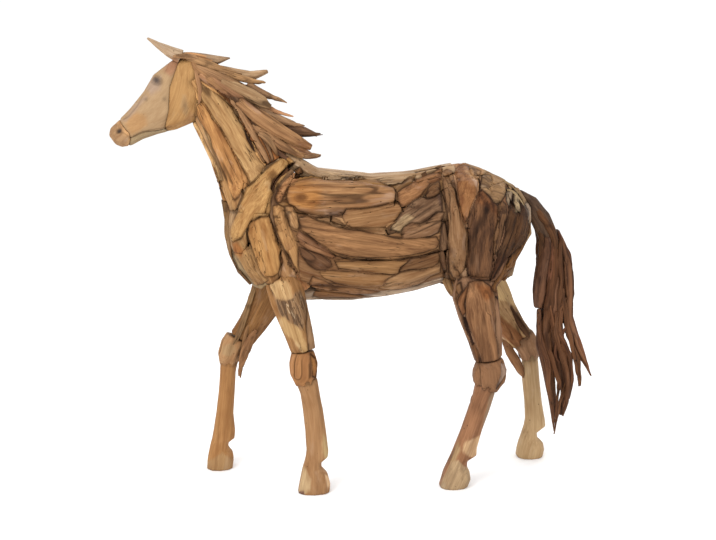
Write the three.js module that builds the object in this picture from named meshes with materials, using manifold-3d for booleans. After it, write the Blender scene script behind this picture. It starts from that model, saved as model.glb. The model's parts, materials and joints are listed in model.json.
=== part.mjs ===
// A walking horse built up from driftwood: cut planks, split branches and roots are scribed
// to each other and fixed edge to edge over the form of the animal. The lower legs, each with
// its hoof, are carved from one branch. Millimetres, +Z up, head towards -X, and the horse's
// left side faces -Y. The four soles stand on Z = 0.
import * as THREE from "three";
import { mergeVertices } from "three/addons/utils/BufferGeometryUtils.js";
import Module from "manifold-3d";

const wasm = await Module();
wasm.setup();

// ---------------------------------------------------------------- driving dimensions
const FIT_GAP = 0.9; // left between a piece and the one scribed to it
const PLANK_DEPTH = 44; // thickness of a body plank
const NECK_DEPTH = 36; // thickness of a neck plank
const EDGE_ROUND = 6; // how far a plank's long edges fall away from its crown
const PLANK_STATIONS = 5; // cross sections along a plank
const ROOT_SIDES = 8; // corners of a root's cross section
const SQUARENESS = 2.3; // exponent of the superellipse sections; 2 is an ellipse
const HEAD_SIDES = 12; // corners of the head's cross section
const HEAD_SQUARENESS = 2.6; // the head's sections are a little squarer than the body's
const SMOOTHING = 0.3; // facets flatter than this are left as one
const BLEND = 0.1; // how softly two body masses run into each other

const LEFT = -1;
const RIGHT = 1;
const MIDDLE = 0;

const WOODS = {
  tan: 0xb98a55,
  orange: 0xb5743c,
  brown: 0x8d6143,
  dark: 0x5b4032,
  pale: 0xcfae7e,
  grey: 0x8f7d6d,
};

// ---------------------------------------------------------------- form of the animal
// Each mass is a tapering tube that lies in the middle plane: [x, z, reach, breadth], where
// reach is its half depth seen from the side and breadth its half width.
const BARREL = [
  [-200, 775, 205, 146],
  [0, 757, 192, 162],
  [120, 765, 183, 160],
  [262, 797, 172, 150],
];
const SHOULDER = [
  [-232, 925, 74, 88],
  [-286, 830, 104, 136],
  [-276, 730, 110, 148],
  [-238, 665, 88, 142],
];
const NECK = [
  [-285, 880, 125, 90],
  [-320, 995, 113, 74],
  [-392, 1113, 94, 62],
  [-466, 1224, 75, 50],
];
const HAUNCH = [
  [318, 825, 154, 152],
  [396, 800, 140, 160],
];
const THIGH_LEFT = [
  [392, 790, 138, 160],
  [368, 685, 110, 152],
  [350, 600, 72, 134],
];
const THIGH_RIGHT = [
  [392, 790, 138, 160],
  [392, 685, 108, 152],
  [415, 600, 78, 134],
];

// 0 on the axis of a mass, 1 on its surface.
function massLevel(mass, point) {
  let lowest = Infinity;
  for (let i = 0; i + 1 < mass.length; i++) {
    const [ax, az, ar, aw] = mass[i];
    const [bx, bz, br, bw] = mass[i + 1];
    const along = ((point.x - ax) * (bx - ax) + (point.z - az) * (bz - az)) /
      ((bx - ax) ** 2 + (bz - az) ** 2);
    const t = THREE.MathUtils.clamp(along, 0, 1);
    const distance = Math.hypot(point.x - ax - t * (bx - ax), point.z - az - t * (bz - az));
    const reach = THREE.MathUtils.lerp(ar, br, t);
    const breadth = THREE.MathUtils.lerp(aw, bw, t);
    const across = (distance / reach) ** SQUARENESS;
    const sideways = (Math.abs(point.y) / breadth) ** SQUARENESS;
    const level = (across + sideways) ** (1 / SQUARENESS);
    lowest = Math.min(lowest, level);
  }
  return lowest;
}

// The masses run together softly into one body surface at level 1.
function bodyLevel(point) {
  const masses = [BARREL, SHOULDER, NECK, HAUNCH, point.y < 0 ? THIGH_LEFT : THIGH_RIGHT];
  return masses.map((mass) => massLevel(mass, point)).reduce((a, b) => {
    const overlap = Math.max(BLEND - Math.abs(a - b), 0) / BLEND;
    return Math.min(a, b) - overlap * overlap * BLEND * 0.25;
  });
}

function bodyNormal(point) {
  const step = 0.5;
  const change = (axis) => {
    const ahead = point.clone().addScaledVector(axis, step);
    const behind = point.clone().addScaledVector(axis, -step);
    return (bodyLevel(ahead) - bodyLevel(behind)) / (2 * step);
  };
  return new THREE.Vector3(
    change(new THREE.Vector3(1, 0, 0)),
    change(new THREE.Vector3(0, 1, 0)),
    change(new THREE.Vector3(0, 0, 1)),
  );
}

// Moves a point along the form's own gradient until it lies on the surface.
function ontoBody(point) {
  const found = point.clone();
  for (let i = 0; i < 12; i++) {
    const slope = bodyNormal(found);
    const miss = (1 - bodyLevel(found)) / Math.max(slope.lengthSq(), 1e-7);
    const stride = THREE.MathUtils.clamp(miss * slope.length(), -40, 40);
    found.addScaledVector(slope.normalize(), stride);
  }
  return found;
}

// The surface point that is seen at (x, z) from one side, or the nearest one on the ridge.
function onSide(x, z, side) {
  if (side === MIDDLE) return ontoBody(new THREE.Vector3(x, 0, z));
  let inner = 0;
  let outer = 240;
  for (let i = 0; i < 24; i++) {
    const half = (inner + outer) / 2;
    if (bodyLevel(new THREE.Vector3(x, side * half, z)) < 1) inner = half;
    else outer = half;
  }
  const start = new THREE.Vector3(x, side * Math.max(inner, 6), z);
  return inner > 6 ? start : ontoBody(start);
}

// ---------------------------------------------------------------- solids
function solidFrom(geometry) {
  geometry.deleteAttribute("normal");
  geometry.deleteAttribute("uv");
  const merged = mergeVertices(geometry, 1e-3);
  return new wasm.Manifold(new wasm.Mesh({
    numProp: 3,
    vertProperties: merged.attributes.position.array,
    triVerts: new Uint32Array(merged.index.array),
  }));
}

function geometryFrom(solid) {
  const mesh = solid.getMesh();
  const geometry = new THREE.BufferGeometry();
  geometry.setAttribute("position", new THREE.BufferAttribute(mesh.vertProperties, 3));
  geometry.setIndex(new THREE.BufferAttribute(mesh.triVerts, 1));
  geometry.computeVertexNormals();
  return geometry;
}

// Joins rings of equal length into one closed skin, with a flat fan over each end.
function loft(rings) {
  const corners = rings[0].length;
  const positions = rings.flat().flatMap((p) => [p.x, p.y, p.z]);
  const faces = [];
  for (let i = 0; i + 1 < rings.length; i++) {
    for (let j = 0; j < corners; j++) {
      const a = i * corners + j;
      const b = i * corners + (j + 1) % corners;
      faces.push(a, b, b + corners, a, b + corners, a + corners);
    }
  }
  const last = (rings.length - 1) * corners;
  for (let j = 1; j + 1 < corners; j++) {
    faces.push(0, j + 1, j);
    faces.push(last, last + j, last + j + 1);
  }
  const geometry = new THREE.BufferGeometry();
  geometry.setAttribute("position", new THREE.Float32BufferAttribute(positions, 3));
  geometry.setIndex(faces);
  const solid = solidFrom(geometry);
  return solid.volume() < 0 ? turnedOut(geometry) : solid;
}

function turnedOut(geometry) {
  const faces = Array.from(geometry.index.array);
  for (let i = 0; i < faces.length; i += 3) {
    [faces[i + 1], faces[i + 2]] = [faces[i + 2], faces[i + 1]];
  }
  geometry.setIndex(faces);
  return solidFrom(geometry);
}

// Reads rows of numbers as a smooth run and returns it at evenly spread stations.
function stationsOf(rows, count) {
  const places = rows.map((row, i) => i);
  const run = new THREE.CubicInterpolant(places, rows.flat(), rows[0].length);
  return Array.from({ length: count }, (_, i) =>
    Array.from(run.evaluate((i / (count - 1)) * (rows.length - 1))));
}

const OUTER_SHARES = [-1, -0.42, 0.42, 1];
const INNER_SHARES = [0.82, -0.82];

// A plank bent over the body. route rows are [x, z, width]. On a side of the horse the width is
// the one seen from that side; along the middle it is the width laid across the ridge.
function plank(route, side, { depth = PLANK_DEPTH, proud = 0, stations = PLANK_STATIONS } = {}) {
  return (grow) => {
    const rows = stationsOf(route, stations);
    const centres = rows.map(([x, z]) => onSide(x, z, side));
    const rings = centres.map((centre, i) => {
      const before = Math.max(i - 1, 0);
      const after = Math.min(i + 1, centres.length - 1);
      const along = centres[after].clone().sub(centres[before]).normalize();
      const [fromX, fromZ] = rows[before];
      const [toX, toZ] = rows[after];
      const run = new THREE.Vector2(toX - fromX, toZ - fromZ).normalize();
      const half = rows[i][2] / 2 + grow;
      const end = i === 0 ? -grow : i === centres.length - 1 ? grow : 0;
      const at = (share, lift) => {
        const spot = side === MIDDLE
          ? ontoBody(centre.clone().setY(share * half))
          : onSide(rows[i][0] - run.y * share * half, rows[i][1] + run.x * share * half, side);
        return spot.addScaledVector(bodyNormal(spot).normalize(), lift).addScaledVector(along, end);
      };
      return [
        ...OUTER_SHARES.map((share) => at(share, proud + grow - EDGE_ROUND * Math.abs(share) ** 3)),
        ...INNER_SHARES.map((share) => at(share, proud - depth - grow)),
      ];
    });
    return loft(rings);
  };
}

// The corners of a unit superellipse, so a section can be rounder or squarer.
function squaredRing(sides, squareness) {
  const squared = (value) => Math.sign(value) * Math.abs(value) ** (2 / squareness);
  return Array.from({ length: sides }, (_, j) => {
    const angle = (2 * Math.PI * (j + 0.5)) / sides;
    return [squared(Math.cos(angle)), squared(Math.sin(angle))];
  });
}

// A root, branch or carved limb. rows are [x, y, z, half depth, half width]; the half depth is
// measured across the run in the side view. level keeps every section horizontal.
function root(rows, { stations = rows.length, sides = ROOT_SIDES, level = false } = {}) {
  return (grow) => {
    const spots = stationsOf(rows, stations);
    const centres = spots.map(([x, y, z]) => new THREE.Vector3(x, y, z));
    const rings = centres.map((centre, i) => {
      const before = centres[Math.max(i - 1, 0)];
      const after = centres[Math.min(i + 1, centres.length - 1)];
      const along = after.clone().sub(before).normalize();
      const wide = new THREE.Vector3(0, 1, 0);
      const deep = new THREE.Vector3(1, 0, 0);
      if (!level) deep.crossVectors(wide, along).normalize();
      const end = i === 0 ? -grow : i === centres.length - 1 ? grow : 0;
      return squaredRing(sides, SQUARENESS).map(([c, s]) => centre.clone()
        .addScaledVector(deep, c * (spots[i][3] + grow))
        .addScaledVector(wide, s * (spots[i][4] + grow))
        .addScaledVector(along, end));
    });
    return loft(rings);
  };
}

// A carved lower leg. rows are [z, front x, back x, half width], from the sole up.
function carvedLeg(rows, y) {
  const sections = rows.map(([z, front, back, wide]) =>
    [(front + back) / 2, y, z, (back - front) / 2, wide]);
  return root(sections, { sides: 10, level: true });
}

// ---------------------------------------------------------------- head
// Sections from poll to nose: [brow x, brow z, jaw x, jaw z, half width].
const HEAD_SECTIONS = [
  [-492, 1302, -452, 1180, 38],
  [-540, 1296, -478, 1112, 54],
  [-600, 1250, -536, 1089, 60],
  [-630, 1200, -590, 1077, 53],
  [-670, 1152, -636, 1062, 42],
  [-708, 1114, -668, 1044, 36],
  [-729, 1092, -696, 1039, 31],
  [-733, 1074, -713, 1046, 17],
];

function headForm(grow) {
  const rings = HEAD_SECTIONS.map(([bx, bz, jx, jz, wide], i) => {
    const centre = new THREE.Vector3((bx + jx) / 2, 0, (bz + jz) / 2);
    const up = new THREE.Vector3(bx - jx, 0, bz - jz);
    const half = up.length() / 2;
    up.normalize();
    const forward = new THREE.Vector3(up.z, 0, -up.x);
    const end = i === 0 ? grow : i === HEAD_SECTIONS.length - 1 ? -grow : 0;
    return squaredRing(HEAD_SIDES, HEAD_SQUARENESS).map(([c, s]) => centre.clone()
      .addScaledVector(up, c * (half + grow))
      .addScaledVector(new THREE.Vector3(0, 1, 0), s * (wide + grow))
      .addScaledVector(forward, end));
  });
  return loft(rings);
}

// A side-view outline pushed through the head, grown or shrunk about its own middle.
function throughCut(outline, grow, from, to) {
  const middle = outline
    .reduce(([sumX, sumZ], [x, z]) => [sumX + x, sumZ + z], [0, 0])
    .map((sum) => sum / outline.length);
  const shape = new THREE.Shape(outline.map(([x, z]) => {
    const away = new THREE.Vector2(x - middle[0], z - middle[1]);
    away.setLength(away.length() + grow * 1.3);
    return new THREE.Vector2(middle[0] + away.x, middle[1] + away.y);
  }));
  const geometry = new THREE.ExtrudeGeometry(shape, { depth: to - from + 2 * grow, bevelEnabled: false });
  geometry.rotateX(Math.PI / 2);
  geometry.translate(0, to + grow, 0);
  return solidFrom(geometry);
}

const CHEEK_OUTLINE = [
  [-497, 1308], [-525, 1290], [-552, 1215], [-557, 1150], [-570, 1099],
  [-552, 1070], [-480, 1080], [-430, 1160], [-440, 1230], [-480, 1330],
];
const MUZZLE_OUTLINE = [
  [-706, 1126], [-690, 1100], [-674, 1082], [-672, 1064], [-683, 1030], [-760, 1030], [-760, 1126],
];
const JAW_OUTLINE = [
  [-562, 1096], [-590, 1089], [-632, 1084], [-662, 1070], [-700, 1058],
  [-700, 1020], [-560, 1020], [-470, 1090], [-480, 1112], [-530, 1098],
];
const HEAD_HALF = 90;
const CHEEK_INNER = 8;

const cut = (outline, from, to) => (grow) =>
  headForm(grow).intersect(throughCut(outline, grow, from, to));

// ---------------------------------------------------------------- pieces, in fitting order
const pieces = [];
const piece = (name, wood, solid) => pieces.push({ name, wood, solid });

piece("muzzle", "tan", cut(MUZZLE_OUTLINE, -HEAD_HALF, HEAD_HALF));
piece("cheek_left", "tan", cut(CHEEK_OUTLINE, -HEAD_HALF, -CHEEK_INNER));
piece("lower_jaw", "tan", cut(JAW_OUTLINE, -HEAD_HALF, HEAD_HALF));
piece("face", "pale", headForm);

for (const [name, side] of [["left", LEFT], ["right", RIGHT]]) {
  piece(`ear_${name}`, "tan", root([
    [-520, side * 24, 1300, 22, 17],
    [-552, side * 29, 1315, 17, 14],
    [-586, side * 33, 1335, 9, 8],
    [-616, side * 35, 1355, 1.5, 1.5],
  ], { sides: 6 }));
}

// Lower legs, each carved with its hoof from one branch.
const LEG_Y = 132;
piece("fore_cannon_and_hoof_left", "tan", carvedLeg([
  [0, -197, -100, 40], [28, -192, -98, 41], [58, -186, -106, 38], [78, -181, -124, 32],
  [94, -176, -125, 31],
  [110, -172, -105, 31], [132, -169, -103, 30], [190, -172, -110, 28], [260, -180, -120, 28],
  [310, -187, -129, 30], [356, -205, -136, 33],
], -LEG_Y));
piece("fore_cannon_and_hoof_right", "tan", carvedLeg([
  [0, -467, -384, 40], [28, -465, -380, 41], [50, -461, -383, 38], [68, -457, -396, 32],
  [84, -453, -396, 31],
  [98, -449, -377, 31], [122, -444, -375, 30], [180, -434, -380, 28], [255, -425, -374, 28],
  [315, -420, -370, 30], [352, -419, -362, 33],
], LEG_Y));
piece("hind_cannon_and_hoof_left", "brown", carvedLeg([
  [0, 236, 323, 42], [26, 243, 333, 43], [50, 250, 329, 40], [66, 257, 321, 33], [82, 264, 322, 31],
  [98, 271, 351, 31], [120, 280, 352, 30], [180, 303, 368, 28], [245, 325, 390, 29],
  [290, 339, 403, 31], [322, 345, 412, 34],
], -LEG_Y));
piece("hind_cannon_and_hoof_right", "pale", carvedLeg([
  [0, 538, 623, 42], [26, 541, 628, 43], [48, 546, 624, 40], [64, 551, 606, 33], [82, 556, 602, 31],
  [102, 562, 632, 31], [128, 566, 629, 30], [190, 562, 617, 28], [260, 554, 607, 29],
  [310, 552, 602, 32], [350, 553, 598, 34],
], LEG_Y));

// Knees and hocks: round blocks that cap the carved legs.
piece("knee_left", "orange", root([
  [-170, -LEG_Y, 340, 32, 34], [-176, -LEG_Y, 372, 42, 42], [-176, -LEG_Y, 405, 43, 43],
  [-178, -LEG_Y, 437, 34, 36],
]));
piece("knee_right", "tan", root([
  [-394, LEG_Y, 338, 29, 34], [-391, LEG_Y, 368, 37, 41], [-380, LEG_Y, 398, 40, 42],
  [-366, LEG_Y, 424, 36, 36],
]));
piece("hock_left", "brown", root([
  [378, -LEG_Y, 306, 34, 34], [386, -LEG_Y, 335, 47, 42], [388, -LEG_Y, 365, 48, 43],
  [384, -LEG_Y, 394, 38, 37],
]));
piece("hock_right", "brown", root([
  [574, LEG_Y, 326, 27, 34], [574, LEG_Y, 350, 33, 40], [566, LEG_Y, 376, 38, 42],
  [550, LEG_Y, 404, 38, 36],
]));

// Shoulders.
piece("shoulder_left", "tan", plank([
  [-296, 852, 40], [-298, 800, 82], [-288, 740, 90], [-276, 690, 78], [-266, 645, 40],
], LEFT, { proud: 6 }));
piece("shoulder_blade_left", "tan", plank([
  [-196, 1004, 22], [-238, 986, 34], [-284, 950, 58], [-322, 896, 92], [-348, 832, 84],
  [-364, 780, 56], [-368, 735, 30],
], LEFT, { proud: 4, stations: 8 }));
piece("girth_strip_left", "tan", plank([
  [-206, 980, 44], [-250, 930, 66], [-262, 862, 60], [-246, 800, 62], [-218, 740, 58], [-198, 690, 44],
], LEFT));
piece("breast_left", "orange", plank([
  [-368, 762, 40], [-352, 715, 70], [-322, 672, 84], [-286, 632, 80],
], LEFT, { stations: 5 }));
piece("elbow_left", "orange", plank([
  [-254, 775, 34], [-234, 710, 62], [-210, 660, 80], [-184, 606, 70],
], LEFT, { proud: 2, stations: 5 }));
piece("chest", "orange", plank([
  [-396, 880, 110], [-388, 790, 170], [-370, 705, 250], [-322, 630, 260],
], MIDDLE, { depth: 50, stations: 6 }));

// Barrel planks of the left side.
piece("barrel_broad_plank_left", "orange", plank([
  [-250, 903, 80], [-168, 903, 104], [-80, 901, 112], [0, 900, 100], [62, 900, 76], [98, 892, 48],
], LEFT, { proud: 3 }));
piece("barrel_short_plank_left", "tan", plank([
  [-94, 838, 26], [-30, 826, 60], [40, 832, 80], [85, 850, 70], [114, 868, 44],
], LEFT, { stations: 5 }));
piece("barrel_loin_plank_left", "orange", plank([
  [88, 893, 60], [138, 912, 86], [182, 936, 90], [244, 962, 80],
], LEFT, { stations: 5 }));
piece("barrel_grey_plank_left", "grey", plank([
  [66, 800, 34], [115, 822, 74], [168, 856, 100], [244, 884, 120],
], LEFT, { proud: 2, stations: 5 }));
piece("barrel_long_plank_left", "brown", plank([
  [-250, 836, 90], [-160, 816, 104], [-95, 794, 116], [-25, 768, 116], [70, 764, 112],
  [160, 780, 124], [248, 800, 130],
], LEFT, { proud: 2, stations: 7 }));
piece("barrel_low_plank_left", "tan", plank([
  [-240, 728, 150], [-110, 684, 140], [-20, 664, 130], [80, 662, 130], [160, 674, 130], [248, 700, 120],
], LEFT));

// Haunches.
piece("flank_strip_left", "tan", plank([
  [244, 976, 48], [252, 905, 52], [266, 845, 54], [281, 790, 62], [284, 720, 66], [276, 650, 60],
  [264, 600, 34],
], LEFT, { proud: 4, stations: 7 }));
piece("hip_wedge_left", "orange", plank([
  [308, 984, 84], [312, 935, 90], [310, 880, 68], [306, 832, 40], [306, 800, 20],
], LEFT, { proud: 3, stations: 5 }));
piece("thigh_left", "dark", plank([
  [376, 950, 70], [368, 870, 96], [354, 790, 104], [350, 725, 98], [346, 670, 84], [352, 622, 50],
], LEFT, { stations: 6 }));
piece("hamstring_left", "dark", plank([
  [428, 925, 80], [434, 840, 86], [424, 765, 82], [410, 700, 74], [398, 640, 60], [402, 596, 40],
], LEFT, { stations: 6 }));
piece("buttock_left", "dark", plank([
  [476, 908, 60], [490, 850, 66], [488, 790, 66], [472, 730, 60], [448, 655, 52], [430, 580, 34],
], LEFT));

// Upper legs.
piece("forearm_left", "pale", root([
  [-178, -LEG_Y, 440, 38, 36], [-190, -LEG_Y, 490, 44, 38], [-206, -130, 545, 50, 40],
  [-222, -124, 600, 56, 42], [-238, -116, 650, 52, 38], [-252, -108, 690, 34, 26],
]));
piece("forearm_right", "orange", root([
  [-352, LEG_Y, 418, 40, 36], [-320, LEG_Y, 462, 44, 38], [-284, 128, 520, 52, 40],
  [-260, 120, 580, 60, 42], [-250, 104, 640, 54, 34],
]));
piece("gaskin_left", "brown", root([
  [384, -LEG_Y, 398, 40, 38], [372, -LEG_Y, 460, 50, 42], [354, -128, 530, 60, 46],
  [342, -120, 590, 68, 48], [344, -112, 652, 60, 40],
]));
piece("gaskin_right", "orange", root([
  [554, LEG_Y, 388, 40, 38], [518, LEG_Y, 426, 46, 42], [474, 128, 488, 54, 46],
  [436, 118, 560, 62, 48], [410, 104, 626, 56, 36],
]));

// Planks that lie along the middle.
piece("croup", "pale", plank([
  [335, 979, 190], [395, 964, 200], [455, 930, 190], [512, 880, 180], [530, 790, 170], [502, 700, 150],
  [462, 610, 110],
], MIDDLE, { stations: 8 }));
piece("back_plank", "pale", plank([
  [-262, 1004, 120], [-150, 968, 170], [-20, 949, 190], [100, 948, 190], [200, 962, 180],
  [292, 982, 150],
], MIDDLE));
piece("belly_plank", "brown", plank([
  [-240, 596, 250], [-110, 570, 290], [20, 566, 300], [140, 585, 290], [250, 626, 260], [330, 668, 220],
], MIDDLE, { stations: 7 }));

// The right side, in fewer and plainer planks.
piece("shoulder_right", "tan", plank([
  [-206, 1002, 50], [-272, 950, 110], [-310, 870, 150], [-316, 780, 170], [-306, 700, 160],
  [-280, 634, 120],
], RIGHT, { proud: 4 }));
piece("barrel_broad_plank_right", "orange", plank([
  [-262, 880, 160], [-150, 872, 162], [-20, 868, 162], [110, 876, 164], [246, 892, 166],
], RIGHT));
piece("barrel_long_plank_right", "brown", plank([
  [-252, 726, 150], [-140, 704, 176], [0, 692, 190], [120, 699, 190], [246, 725, 174],
], RIGHT));
piece("thigh_right", "brown", plank([
  [318, 955, 110], [322, 880, 150], [318, 800, 156], [325, 725, 160], [345, 640, 150],
], RIGHT, { stations: 6 }));
piece("buttock_right", "dark", plank([
  [436, 905, 110], [452, 845, 124], [450, 785, 124], [448, 715, 110], [455, 630, 90],
], RIGHT));

// Neck planks.
piece("neck_long_plank_left", "orange", plank([
  [-486, 1166, 42], [-440, 1082, 62], [-408, 1010, 74], [-380, 935, 78], [-362, 850, 60],
], LEFT, { depth: NECK_DEPTH, proud: 2 }));
piece("neck_broad_plank_left", "tan", plank([
  [-484, 1240, 60], [-430, 1174, 80], [-390, 1108, 80], [-354, 1042, 84], [-318, 965, 100],
  [-300, 915, 90],
], LEFT, { depth: NECK_DEPTH, proud: 1 }));
piece("neck_crest_plank_left", "brown", plank([
  [-488, 1282, 46], [-432, 1236, 54], [-378, 1182, 56], [-330, 1116, 62], [-294, 1048, 64],
  [-252, 985, 64],
], LEFT, { depth: NECK_DEPTH }));
piece("neck_long_plank_right", "orange", plank([
  [-484, 1160, 46], [-440, 1085, 70], [-402, 1010, 84], [-366, 920, 90],
], RIGHT, { depth: NECK_DEPTH, stations: 5 }));
piece("neck_broad_plank_right", "tan", plank([
  [-482, 1262, 60], [-418, 1196, 100], [-360, 1112, 116], [-308, 1024, 120], [-276, 965, 110],
], RIGHT, { depth: NECK_DEPTH }));
piece("throat_strip", "tan", plank([
  [-494, 1118, 90], [-468, 1058, 106], [-442, 990, 120], [-420, 925, 136], [-398, 850, 146],
], MIDDLE, { depth: NECK_DEPTH }));

// Mane: driftwood shards fixed along the crest, swept back.
piece("mane_forelock", "brown", root([
  [-526, 0, 1306, 8, 20], [-480, -4, 1301, 12, 24], [-425, -8, 1291, 14, 22], [-376, -10, 1297, 3, 6],
], { stations: 5 }));
piece("mane_shard_1", "tan", root([
  [-488, 4, 1282, 12, 30], [-430, 4, 1266, 15, 28], [-370, 2, 1250, 18, 24], [-315, 0, 1243, 15, 18],
  [-266, -4, 1257, 3, 5],
]));
piece("mane_shard_2", "tan", root([
  [-405, -36, 1232, 12, 16], [-348, -40, 1203, 20, 18], [-296, -42, 1176, 21, 16],
  [-260, -40, 1156, 8, 8],
], { stations: 5 }));
piece("mane_shard_3", "orange", root([
  [-356, -44, 1176, 18, 16], [-300, -46, 1130, 25, 18], [-244, -40, 1090, 24, 18],
  [-190, -32, 1058, 20, 16],
  [-141, -26, 1033, 9, 10],
]));
piece("mane_shard_4", "dark", root([
  [-330, 14, 1150, 30, 34], [-268, 10, 1120, 26, 30], [-200, 4, 1094, 16, 22], [-120, -2, 1068, 3, 5],
], { stations: 5 }));
piece("mane_shard_5", "tan", root([
  [-300, -6, 1086, 30, 34], [-248, -8, 1052, 28, 32], [-200, -12, 1026, 18, 26],
  [-164, -16, 1004, 8, 14],
], { stations: 5 }));

// Tail: one thick root as the dock, and hanging roots.
piece("tail_dock", "dark", root([
  [488, 0, 880, 18, 26], [530, 0, 852, 27, 30], [566, 0, 806, 32, 32], [592, 0, 752, 32, 32],
  [600, 0, 700, 24, 26],
]));
piece("tail_front_root", "dark", root([
  [566, -12, 752, 18, 20], [574, -14, 690, 24, 24], [568, -16, 600, 25, 22], [564, -14, 526, 12, 12],
], { stations: 5 }));
piece("tail_outer_root", "brown", root([
  [614, 8, 764, 16, 18], [644, 10, 690, 22, 22], [652, 8, 600, 22, 20], [654, 6, 510, 20, 18],
  [680, 2, 430, 17, 16], [712, -2, 360, 13, 12], [742, -6, 300, 4, 5],
]));
piece("tail_middle_root", "dark", root([
  [606, -6, 700, 24, 24], [612, -8, 600, 26, 26], [610, -6, 500, 28, 26], [624, -4, 400, 24, 22],
  [652, 0, 320, 20, 16], [662, 2, 250, 15, 12], [650, 4, 172, 7, 8],
]));
piece("tail_lower_root", "dark", root([
  [574, -2, 520, 12, 16], [582, -4, 410, 21, 20], [604, -4, 320, 19, 18], [618, 0, 240, 14, 12],
  [628, 2, 118, 3, 3],
]));

// ---------------------------------------------------------------- fitting
// Each piece is scribed to those fitted before it, and keeps only its main body.
const mainBody = (solid) => solid.decompose().reduce((a, b) => (a.volume() > b.volume() ? a : b));
const apart = (a, b) => [0, 1, 2].some((i) => a.min[i] > b.max[i] || b.min[i] > a.max[i]);

const group = new THREE.Group();
const fitted = [];
for (const { name, wood, solid } of pieces) {
  const grown = solid(FIT_GAP);
  const close = fitted.filter((other) => !apart(grown.boundingBox(), other.reach.boundingBox()));
  const scribed = mainBody(close.reduce((body, other) => body.subtract(other.reach), solid(0)));
  const smoothed = mainBody(scribed.simplify(SMOOTHING));
  const clear = close.every((other) => smoothed.intersect(other.near).volume() < 1e-4);
  const body = clear ? smoothed : scribed;
  fitted.push({ body, reach: grown.add(body), near: solid(FIT_GAP / 2).add(body) });
  const material = new THREE.MeshStandardMaterial({ color: WOODS[wood], roughness: 0.8, metalness: 0 });
  const mesh = new THREE.Mesh(geometryFrom(body), material);
  mesh.name = name;
  group.add(mesh);
}

// The origin is under the middle of the whole horse, on the ground.
const box = new THREE.Box3().setFromObject(group);
group.position.set(-(box.min.x + box.max.x) / 2, -(box.min.y + box.max.y) / 2, -box.min.z);

export default group;
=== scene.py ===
"""Driftwood horse: weathered planks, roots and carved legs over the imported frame."""

import json
import math

import bpy
import numpy as np
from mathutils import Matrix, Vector
from mathutils.bvhtree import BVHTree
from numpy.polynomial import polynomial


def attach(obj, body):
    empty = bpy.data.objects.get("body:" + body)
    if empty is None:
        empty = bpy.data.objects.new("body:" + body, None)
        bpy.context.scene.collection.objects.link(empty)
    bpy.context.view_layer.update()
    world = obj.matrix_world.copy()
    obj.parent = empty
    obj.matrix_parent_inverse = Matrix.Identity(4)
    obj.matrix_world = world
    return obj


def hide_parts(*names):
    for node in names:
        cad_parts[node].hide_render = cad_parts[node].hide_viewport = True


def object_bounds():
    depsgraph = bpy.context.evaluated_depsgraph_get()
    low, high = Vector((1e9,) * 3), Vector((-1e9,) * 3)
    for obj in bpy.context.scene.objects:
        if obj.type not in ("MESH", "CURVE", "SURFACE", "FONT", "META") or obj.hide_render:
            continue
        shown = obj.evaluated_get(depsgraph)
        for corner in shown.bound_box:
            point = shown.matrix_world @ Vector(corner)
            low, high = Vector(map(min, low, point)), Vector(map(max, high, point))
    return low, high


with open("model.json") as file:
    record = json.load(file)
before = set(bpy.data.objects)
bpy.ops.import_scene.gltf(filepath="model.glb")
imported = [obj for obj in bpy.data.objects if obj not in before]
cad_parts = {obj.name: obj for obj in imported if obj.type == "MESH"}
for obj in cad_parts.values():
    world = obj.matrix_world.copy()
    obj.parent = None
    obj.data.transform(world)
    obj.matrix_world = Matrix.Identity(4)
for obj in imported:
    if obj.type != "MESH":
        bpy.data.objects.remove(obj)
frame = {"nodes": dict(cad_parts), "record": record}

bl_info = {
    "name": "Driftwood Horse",
    "version": (1, 0, 0),
    "blender": (4, 5, 0),
    "location": "View3D > Sidebar > Driftwood Horse",
    "description": "Builds a standing horse from weathered planks, shards and roots",
    "category": "Object",
}

CAD_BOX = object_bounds()
SLOTS = {row["node"]: row["material_slot"] for row in frame["record"]["subparts"]}
MM = 1000.0  # millimetres in a metre


# ---------------------------------------------------------------- sizes and colours
def length(name, default, description):
    return bpy.props.FloatProperty(
        name=name, default=default, min=0.0, unit="LENGTH", description=description
    )


def colour(name, default):
    return bpy.props.FloatVectorProperty(
        name=name, default=default, size=3, min=0.0, max=1.0, subtype="COLOR",
        description=f"{name} of the wood, in linear light",
    )


class HorseSizes(bpy.types.PropertyGroup):
    """Mesh cells and the depth of the weathering"""

    plank_cell: length("Plank cell", 0.0028, "Mesh cell of the body planks and upper legs")
    far_cell: length("Far cell", 0.0046, "Mesh cell of the plainer right side")
    fine_cell: length("Fine cell", 0.0026,
                      "Mesh cell of the head, knees, hocks, lower legs and tail roots")
    shard_cell: length("Shard cell", 0.0017, "Mesh cell of the ears and the mane shards")
    kept_part: bpy.props.FloatProperty(name="Kept part", default=0.55, min=0.1, max=1.0,
                                       description="Part of a piece's triangles that stays")
    swell: length("Swell", 0.0030, "Height of the slow waves along a plank")
    flute: length("Flute", 0.0016, "Depth of the weathered furrows along the grain")
    split: length("Split", 0.0045, "Depth of the open drying splits")
    fray: length("Fray", 0.0050, "How far a broken end is eaten back")
    strip_step: length("Strip step", 0.0045, "Length of one mesh cell along a strip")


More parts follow.
